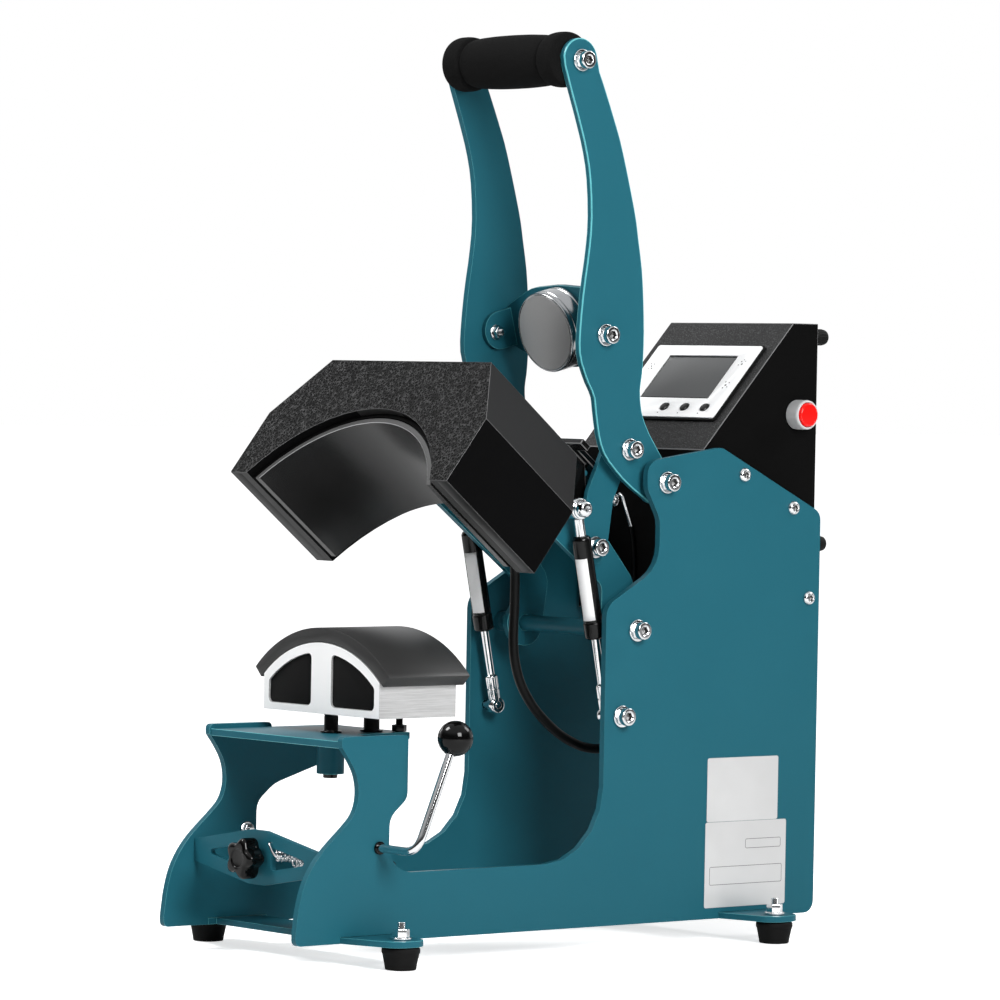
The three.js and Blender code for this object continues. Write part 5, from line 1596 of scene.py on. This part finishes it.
@dataclass
class ControlBox:
    """The control box, its rear fittings, the stop button and the labels on the side plate."""

    shop: Workshop
    half: float = 68.6
    back: float = 184.5
    fuse_across: float = 60.0
    gland_across: float = 52.0
    stop_place: Span = (164.0, 157.9)
    lug_place: Span = (-27.5, 91.5)

    def build(self) -> None:
        """Dresses the box and makes what is on it."""
        slant = Vector((0, -math.sin(BOX_SLOPE), math.cos(BOX_SLOPE)))
        # The slanted face gets the box's coat painted lighter, as painted light.
        self.shop.soften("box_case", BOX_SIDE, 0.9, HOUSING_ARRIS_HIGHLIGHT,
                         lambda normal: HOUSING_COAT_PAINTED_LIGHT if normal.dot(slant) > 0.98 else None)
        # The rear panel shares the lighter painted coat.
        self.shop.soften("rear_panel", HOUSING_COAT_PAINTED_LIGHT, 0.4)
        self.shop.paint("controller_board", BOARD_GREEN)
        screws = Fasteners(self.shop)
        for k, (x, z) in enumerate(((-60, 18), (60, 18), (-60, 118), (60, 118), (-60, 200), (34, 218)), 1):
            screws.screw(f"panel_screw_{k}", "frame", at(x, self.back, z), Vector((0, 1, 0)), CHROME)
        self.fittings()
        self.stop()
        self.labels()
        self.earth()

    def fittings(self) -> None:
        """Makes the fuse holder and the cable gland at the rear."""
        back = Vector((0, 1, 0))
        fuse = [(0.0, 0.3), (7.3, 0.3, 0.4), (7.3, 3.0, 0.6), (6.0, 3.2), (6.0, 11.5, 0.5), (5.2, 14.4, 0.8),
                (1.4, 14.5), (1.2, 13.5), (0.0, 13.5)]
        height = (centre_of("fuse_holder").z - AXLE.z) / MM
        cap = self.shop.lathe("fuse_cap", fuse, at(self.fuse_across, self.back, height), back, 96,
                              fluted(16, 0.025, (5.6, 6.4), (3.1, math.inf)))
        self.shop.dress(cap, RUBBER, "frame", "fuse_holder")
        gland = [(3.4, 0.3), (7.5, 0.3, 0.3), (7.5, 6.0, 0.6), (6.6, 6.4), (6.6, 11.5), (6.9, 12.0, 0.3),
                 (6.4, 18.0, 1.0), (5.2, 23.8, 0.8), (3.4, 23.8), (3.4, 2.0)]

        def flats(radius: float, height: float, angle: float) -> float:
            """Cuts six flats on the gland's foot."""
            return min(radius, hexagon(6.7, angle)) if radius > 7 and height > 0.2 else radius

        height = (centre_of("cable_gland").z - AXLE.z) / MM
        body = self.shop.lathe("gland_body", gland, at(self.gland_across, self.back, height), back, 72, flats)
        self.shop.dress(body, RUBBER, "frame", "cable_gland")

    def stop(self) -> None:
        """Makes the stop button and its bezel."""
        right = Vector((1, 0, 0))
        place = at(self.half, *self.stop_place)
        bezel = [(0.0, 0.3), (11.0, 0.3, 0.2), (11.0, 11.4, 0.8), (10.2, 12.8, 0.6), (9.3, 12.4), (9.3, 1.9),
                 (0.0, 1.8)]
        ring = self.shop.lathe("stop_ring", bezel, place, right, 64)
        self.shop.dress(ring, GREY_PLASTIC, "frame", "stop_bezel")
        cap = [(0.0, 5.1), (8.9, 5.1, 0.3), (8.9, 13.4, 0.8), (8.0, 14.5, 0.8), (0.0, 14.8)]
        button = self.shop.lathe("stop_cap", cap, place, right, 64)
        self.shop.dress(button, RED_PLASTIC, "stop", "stop_button")

    def labels(self) -> None:
        """Sticks the two bare foil labels, with their empty fields, on the right side plate."""
        across, up = Vector((0, 1, 0)), Vector((0, 0, 1))
        for name, low, high in (("label_upper", (72.0, -142.1), (142.5, -95.0)),
                                ("label_lower", (71.0, -205.3), (151.5, -142.3))):
            foil = self.shop.slab(name, rounded_box(low, high, 1.6), at(PLATE_FACE + 0.02, 0, 0), across, up,
                                  0.22, 0.08)
            self.shop.dress(foil, SILVER_LABEL, "frame")
        line = 0.35
        for name, low, high in (("field_upper", (110.8, -162.7), (146.2, -155.6)),
                                ("field_lower", (75.6, -188.7), (147.7, -175.2))):
            hole = rounded_box((low[0] + line, low[1] + line), (high[0] - line, high[1] - line), 1.0)
            box = self.shop.slab(name, rounded_box(low, high, 1.4), at(PLATE_FACE + 0.22, 0, 0), across, up,
                                 0.06, 0.0, (hole,))
            self.shop.dress(box, PRINT_GREY, "frame")

    def earth(self) -> None:
        """Makes the earth lug on the front of the box, with its short lead."""
        front = BOX_SILL[0]
        lug_y = front - 1.2
        x, z = self.lug_place
        ring = [(2.4, 0.2), (4.6, 0.2, 0.2), (4.6, 1.2, 0.2), (2.4, 1.2)]
        forward = Vector((0, -1, 0))
        lug = self.shop.lathe("lug_part", ring, at(x, front - 0.4, z), forward, 40)
        crimp = [at(-24.4, lug_y, 94.6), at(-21.4, lug_y, 96.2), at(-18.6, lug_y, 94.0),
                 at(-8.6, lug_y, 72.0)]
        barrel = self.shop.tube("barrel_part", crimp, 1.5, 14)
        self.shop.dress(self.shop.join("earth_lug", (lug, barrel)), CHROME, "frame")
        Fasteners(self.shop).screw("earth_screw", "frame", at(x, front - 2.2, z), forward, CHROME, 3.4)
        route = [at(-9.0, lug_y, 73.0), at(-6.2, lug_y, 64.0), at(-4.4, lug_y, 50.0), at(-3.6, lug_y, 32.0),
                 at(-3.4, lug_y, 16.0), at(-3.0, front + 2.0, 8.4), at(-2.4, front + 9.0, 8.0),
                 at(-2.2, front + 14.0, 9.8)]
        wire = self.shop.tube("earth_lead", resampled(route, 2 * MM), 1.25, 14)
        self.shop.dress(wire, CABLE, "frame")


@dataclass
class Display:
    """The display on the slanted face: panel, screen and three keys."""

    shop: Workshop
    panel_half: float = 58.0
    panel_rows: Span = (27.0, 100.0)
    screen_half: float = 38.7
    screen_rows: Span = (37.0, 81.0)
    keys: tuple[float, ...] = (-2.5, 19.75, 42.0)
    key_row: float = 90.0

    def build(self) -> None:
        """Makes the pieces of the display."""
        self.panel()
        self.screen()
        for k, x in enumerate(self.keys, 1):
            self.key(k, x)
        self.marks()

    def flat(self, name: str, outline: Outline, low: float, high: float, soft: float,
             holes: Sequence[Outline] = ()) -> bpy.types.Object:
        """Raises an outline on the slanted face.

        Args:
            name: the piece's name.
            outline: (right, up the slope) pairs, in millimetres, from the face's top edge.
            low: the height of its back over the face.
            high: the height of its front.
            soft: rounding of its edges.
            holes: outlines cut out of it.

        Returns:
            The object.
        """
        up = Vector((0, math.cos(BOX_SLOPE), math.sin(BOX_SLOPE)))
        out = Vector((0, -math.sin(BOX_SLOPE), math.cos(BOX_SLOPE)))
        origin = at(0, *BOX_TOP) + out * low * MM
        return self.shop.slab(name, outline, origin, Vector((1, 0, 0)), up, high - low, soft, holes)

    def oval(self, x: float, grow: float) -> list[Span]:
        """Gives the outline of a key.

        Args:
            x: its middle.
            grow: how much wider than the key it is, all round.

        Returns:
            Its points, in order.
        """
        r, run, steps = 3.6 + grow, 0.7, 14
        points = []
        for middle, start in ((x + run, -math.pi / 2), (x - run, math.pi / 2)):
            for k in range(steps + 1):
                angle = start + math.pi * k / steps
                points.append((middle + r * math.cos(angle), -self.key_row + r * math.sin(angle)))
        return points

    def panel(self) -> None:
        """Makes the white panel over its dark seal."""
        near, far = self.panel_rows
        half, lip = self.panel_half, 1.5
        outline = rounded_box((-half, -far), (half, -near), 2.0, 6)
        base = rounded_box((-half - lip, -far - lip), (half + lip, -near + lip), 2.4, 6)
        s, (top, bottom) = self.screen_half, self.screen_rows
        hole = rounded_box((-s, -bottom), (s, -top), 0.8, 3)
        keys = [self.oval(x, 0.3) for x in self.keys]
        seal = self.flat("display_seal", base, 0.3, 2.2, 0.3, (hole, *keys))
        self.shop.dress(seal, RUBBER, "frame")
        cover = self.flat("display_cover", outline, 2.2, 3.3, 0.4, (hole, *keys))
        self.shop.dress(cover, WHITE_PLASTIC, "frame", "display_panel")

    def screen(self) -> None:
        """Makes the grey screen in its dark border."""
        s, (top, bottom) = self.screen_half - 0.2, self.screen_rows
        outer = rounded_box((-s, -bottom + 0.2), (s, -top - 0.2), 0.8, 3)
        back = self.flat("screen_border", outer, 0.4, 2.3, 0.1)
        self.shop.dress(back, SCREEN_EDGE, "frame")
        inner = rounded_box((-s + 1.3, -bottom + 1.5), (s - 1.3, -top - 1.5), 0.6, 3)
        glass = self.flat("screen_glass", inner, 2.2, 2.5, 0.1)
        self.shop.dress(glass, SCREEN_GREY, "frame", "display_screen")

    def key(self, number: int, x: float) -> None:
        """Makes one domed key.

        Args:
            number: which key.
            x: its middle.
        """
        key = self.flat(f"key_{number}", self.oval(x, 0.0), 1.4, 4.2, 1.0)
        self.shop.dress(key, BLACK_PLASTIC, f"button_{number}", f"panel_button_{number}")

    def marks(self) -> None:
        """Prints small generic dots beside the screen and under the keys."""
        dots = [(-49.5, -49.0, 0.8), (-47.6, -51.4, 0.8), (-51.4, -46.6, 0.7), (-47.8, -46.8, 0.6),
                (-51.4, -51.4, 0.6), (46.9, -43.0, 0.6), (49.0, -45.6, 0.8), (51.0, -42.6, 0.5),
                (45.8, -46.6, 0.5), (48.6, -41.2, 0.5), (45.5, -64.0, 0.6), (47.6, -67.2, 0.9),
                (49.8, -64.6, 0.6), (46.4, -70.0, 0.6), (50.2, -69.0, 0.5)]
        dots += [(x - 3.0, -self.key_row - 6.2, 0.55) for x in self.keys]
        printed = [self.flat(f"dot_{k}", circle(x, y, r, 16), 3.32, 3.38, 0.0)
                   for k, (x, y, r) in enumerate(dots)]
        self.shop.dress(self.shop.join("panel_marks", printed), PRINT_GREY, "frame")


@dataclass
class Studio:
    """Camera, floor, backdrop and lamps."""

    focal: float = 193.75
    camera_place: tuple[float, float, float] = (3003.2, -2577.9, 179.8)
    azimuth: float = 50.08
    pitch: float = 1.279
    roll: float = -1.046
    floor_size: float = 60.0
    floor_glow: float = 0.68
    floor_near: float = 0.5
    floor_far: float = 2.5
    floor_mirror: float = 0.1
    world_light: float = 0.15
    room_light: float = 0.05
    ceiling_light: float = 0.9
    backdrop_edge: Span = (0.15, 0.6)
    ceiling_edge: Span = (0.3, 0.75)
    lamp_size: float = 0.8

    def build(self) -> None:
        """Makes the studio."""
        self.camera()
        self.floor()
        self.lamps()
        bpy.context.scene.view_settings.view_transform = "Standard"

    def camera(self) -> None:
        """Places the camera as the photograph's was."""
        data = bpy.data.cameras.new("camera")
        data.lens = self.focal
        data.sensor_width = 36
        data.clip_end = 60
        camera = bpy.data.objects.new("camera", data)
        bpy.context.scene.collection.objects.link(camera)
        a, p, r = (math.radians(v) for v in (self.azimuth, self.pitch, self.roll))
        forward = Vector((-math.sin(a) * math.cos(p), math.cos(a) * math.cos(p), -math.sin(p)))
        right = Vector((math.cos(a), math.sin(a), 0))
        down = forward.cross(right)
        turned = right * math.cos(r) + down * math.sin(r)
        up = -(down * math.cos(r) - right * math.sin(r))
        basis = Matrix((turned, up, -forward)).transposed().to_4x4()
        camera.matrix_world = Matrix.Translation(at(*self.camera_place)) @ basis
        bpy.context.scene.camera = camera

    def floor(self) -> None:
        """Lays a floor that the camera sees as white, with the press's shadow on it."""
        low = Vector(CAD_BOX[0])
        half = self.floor_size / 2
        bm = bmesh.new()
        corners = [bm.verts.new((x * half, y * half, low.z)) for x, y in ((-1, -1), (1, -1), (1, 1), (-1, 1))]
        bm.faces.new(corners)
        floor = to_object("floor", bm)
        made = bpy.data.materials.new("Pale floor")
        made.use_nodes = True
        tree = made.node_tree
        shader = tree.nodes["Principled BSDF"]
        grain = noise(tree, tree.nodes.new("ShaderNodeTexCoord").outputs["Object"], 3.0, 2.0)
        mix = tree.nodes.new("ShaderNodeMix")
        mix.data_type = "RGBA"
        mix.inputs[6].default_value = (*grey(0.86), 1)
        mix.inputs[7].default_value = (*grey(0.9), 1)
        tree.links.new(grain, mix.inputs[0])
        tree.links.new(mix.outputs[2], shader.inputs["Base Color"])
        shader.inputs["Roughness"].default_value = 0.9
        shader.inputs["Emission Color"].default_value = (1, 1, 1, 1)
        path = tree.nodes.new("ShaderNodeLightPath")
        away = tree.nodes.new("ShaderNodeVectorMath")
        away.operation = "LENGTH"
        tree.links.new(tree.nodes.new("ShaderNodeTexCoord").outputs["Object"], away.inputs[0])
        white = ranged(tree, away.outputs["Value"], self.floor_near, self.floor_far, self.floor_glow, 1.0)
        seen = maths(tree, "MULTIPLY", path.outputs["Is Camera Ray"], white)
        mirrored = maths(tree, "MULTIPLY", path.outputs["Is Glossy Ray"], self.floor_mirror)
        tree.links.new(maths(tree, "ADD", seen, mirrored), shader.inputs["Emission Strength"])
        floor.data.materials.append(made)

    def lamps(self) -> None:
        """Hangs the soft lamps and lights the surroundings."""
        focus = at(0, -60, 90)
        self.lamp("key", at(-900, -1400, 1900), focus, 50)
        self.lamp("fill", at(1900, -500, 900), focus, 43)
        self.lamp("rim", at(500, 1600, 1300), focus, 14)
        self.world()

    def world(self) -> None:
        """Lights the surroundings: a dim room with a white backdrop behind the press."""
        world = bpy.data.worlds.new("surroundings")
        world.use_nodes = True
        tree = world.node_tree
        path = tree.nodes.new("ShaderNodeLightPath")
        direction = tree.nodes.new("ShaderNodeTexCoord").outputs["Generated"]
        azimuth = math.radians(self.azimuth)
        behind = self.towards(tree, direction, (-math.sin(azimuth), math.cos(azimuth), 0.0))
        above = self.towards(tree, direction, (0.0, 0.0, 1.0))
        backdrop = ranged(tree, behind, *self.backdrop_edge, self.room_light, 1.0)
        ceiling = ranged(tree, above, *self.ceiling_edge, self.room_light, self.ceiling_light)
        room = maths(tree, "MAXIMUM", backdrop, ceiling)
        mirrored = maths(tree, "MULTIPLY", room, path.outputs["Is Glossy Ray"])
        plain = maths(tree, "SUBTRACT", 1.0, path.outputs["Is Glossy Ray"])
        level = maths(tree, "ADD", mirrored, maths(tree, "MULTIPLY", plain, self.world_light))
        background = tree.nodes["Background"]
        background.inputs["Color"].default_value = (0.98, 0.99, 1.0, 1)
        tree.links.new(level, background.inputs["Strength"])
        white = tree.nodes.new("ShaderNodeBackground")
        white.inputs["Color"].default_value = (1, 1, 1, 1)
        seen = maths(tree, "MAXIMUM", path.outputs["Is Camera Ray"], path.outputs["Is Transmission Ray"])
        mix = tree.nodes.new("ShaderNodeMixShader")
        tree.links.new(seen, mix.inputs[0])
        tree.links.new(background.outputs[0], mix.inputs[1])
        tree.links.new(white.outputs[0], mix.inputs[2])
        tree.links.new(mix.outputs[0], tree.nodes["World Output"].inputs["Surface"])
        bpy.context.scene.world = world

    def towards(self, tree: bpy.types.NodeTree, direction: bpy.types.NodeSocket,
                way: tuple[float, float, float]) -> bpy.types.NodeSocket:
        """Tells how much a direction points a given way.

        Args:
            tree: the tree that gets the node.
            direction: the direction's socket.
            way: the given way, a unit vector.

        Returns:
            The socket of the value, from -1 to 1.
        """
        dot = tree.nodes.new("ShaderNodeVectorMath")
        dot.operation = "DOT_PRODUCT"
        tree.links.new(direction, dot.inputs[0])
        dot.inputs[1].default_value = way
        return dot.outputs["Value"]

    def lamp(self, name: str, place: Vector, target: Vector, power: float) -> None:
        """Hangs one area lamp.

        Args:
            name: the lamp's name.
            place: where it hangs.
            target: what it points at.
            power: its power, in watts.
        """
        data = bpy.data.lights.new(name, "AREA")
        data.size = self.lamp_size
        data.energy = power
        lamp = bpy.data.objects.new(name, data)
        turn = (place - target).to_track_quat("Z", "Y").to_matrix().to_4x4()
        lamp.matrix_world = Matrix.Translation(place) @ turn
        bpy.context.scene.collection.objects.link(lamp)


def main() -> None:
    """Dresses the press."""
    logging.basicConfig(level=logging.INFO, format="%(name)s: %(message)s")
    Studio().build()
    shop = Workshop(Effects())
    table = {"teal_paint": TEAL, "cover_paint": BLACK_COAT, "black_steel": BLACK_GLOSS,
             "black_plastic": BLACK_PLASTIC, "black_rubber": RUBBER, "grip_foam": FOAM,
             "bright_steel": CHROME, "magnet_steel": GROUND_STEEL, "brushed_aluminium": ALUMINIUM,
             "heater_skin": SHELL_COAT, "white_plastic": WHITE_PLASTIC, "red_plastic": RED_PLASTIC,
             "screen": SCREEN_GREY, "board": BOARD_GREEN}
    for row in frame["record"]["subparts"]:
        shop.paint(row["node"], table[row["material_slot"]])
    for kind in (HeaterLead, TealPlates, Feet, LowerBlock, PressureSetting, Platen, GasSprings, Handle,
                 ControlBox, Display, Fasteners):
        kind(shop).build()


if __name__ == "__main__":
    main()
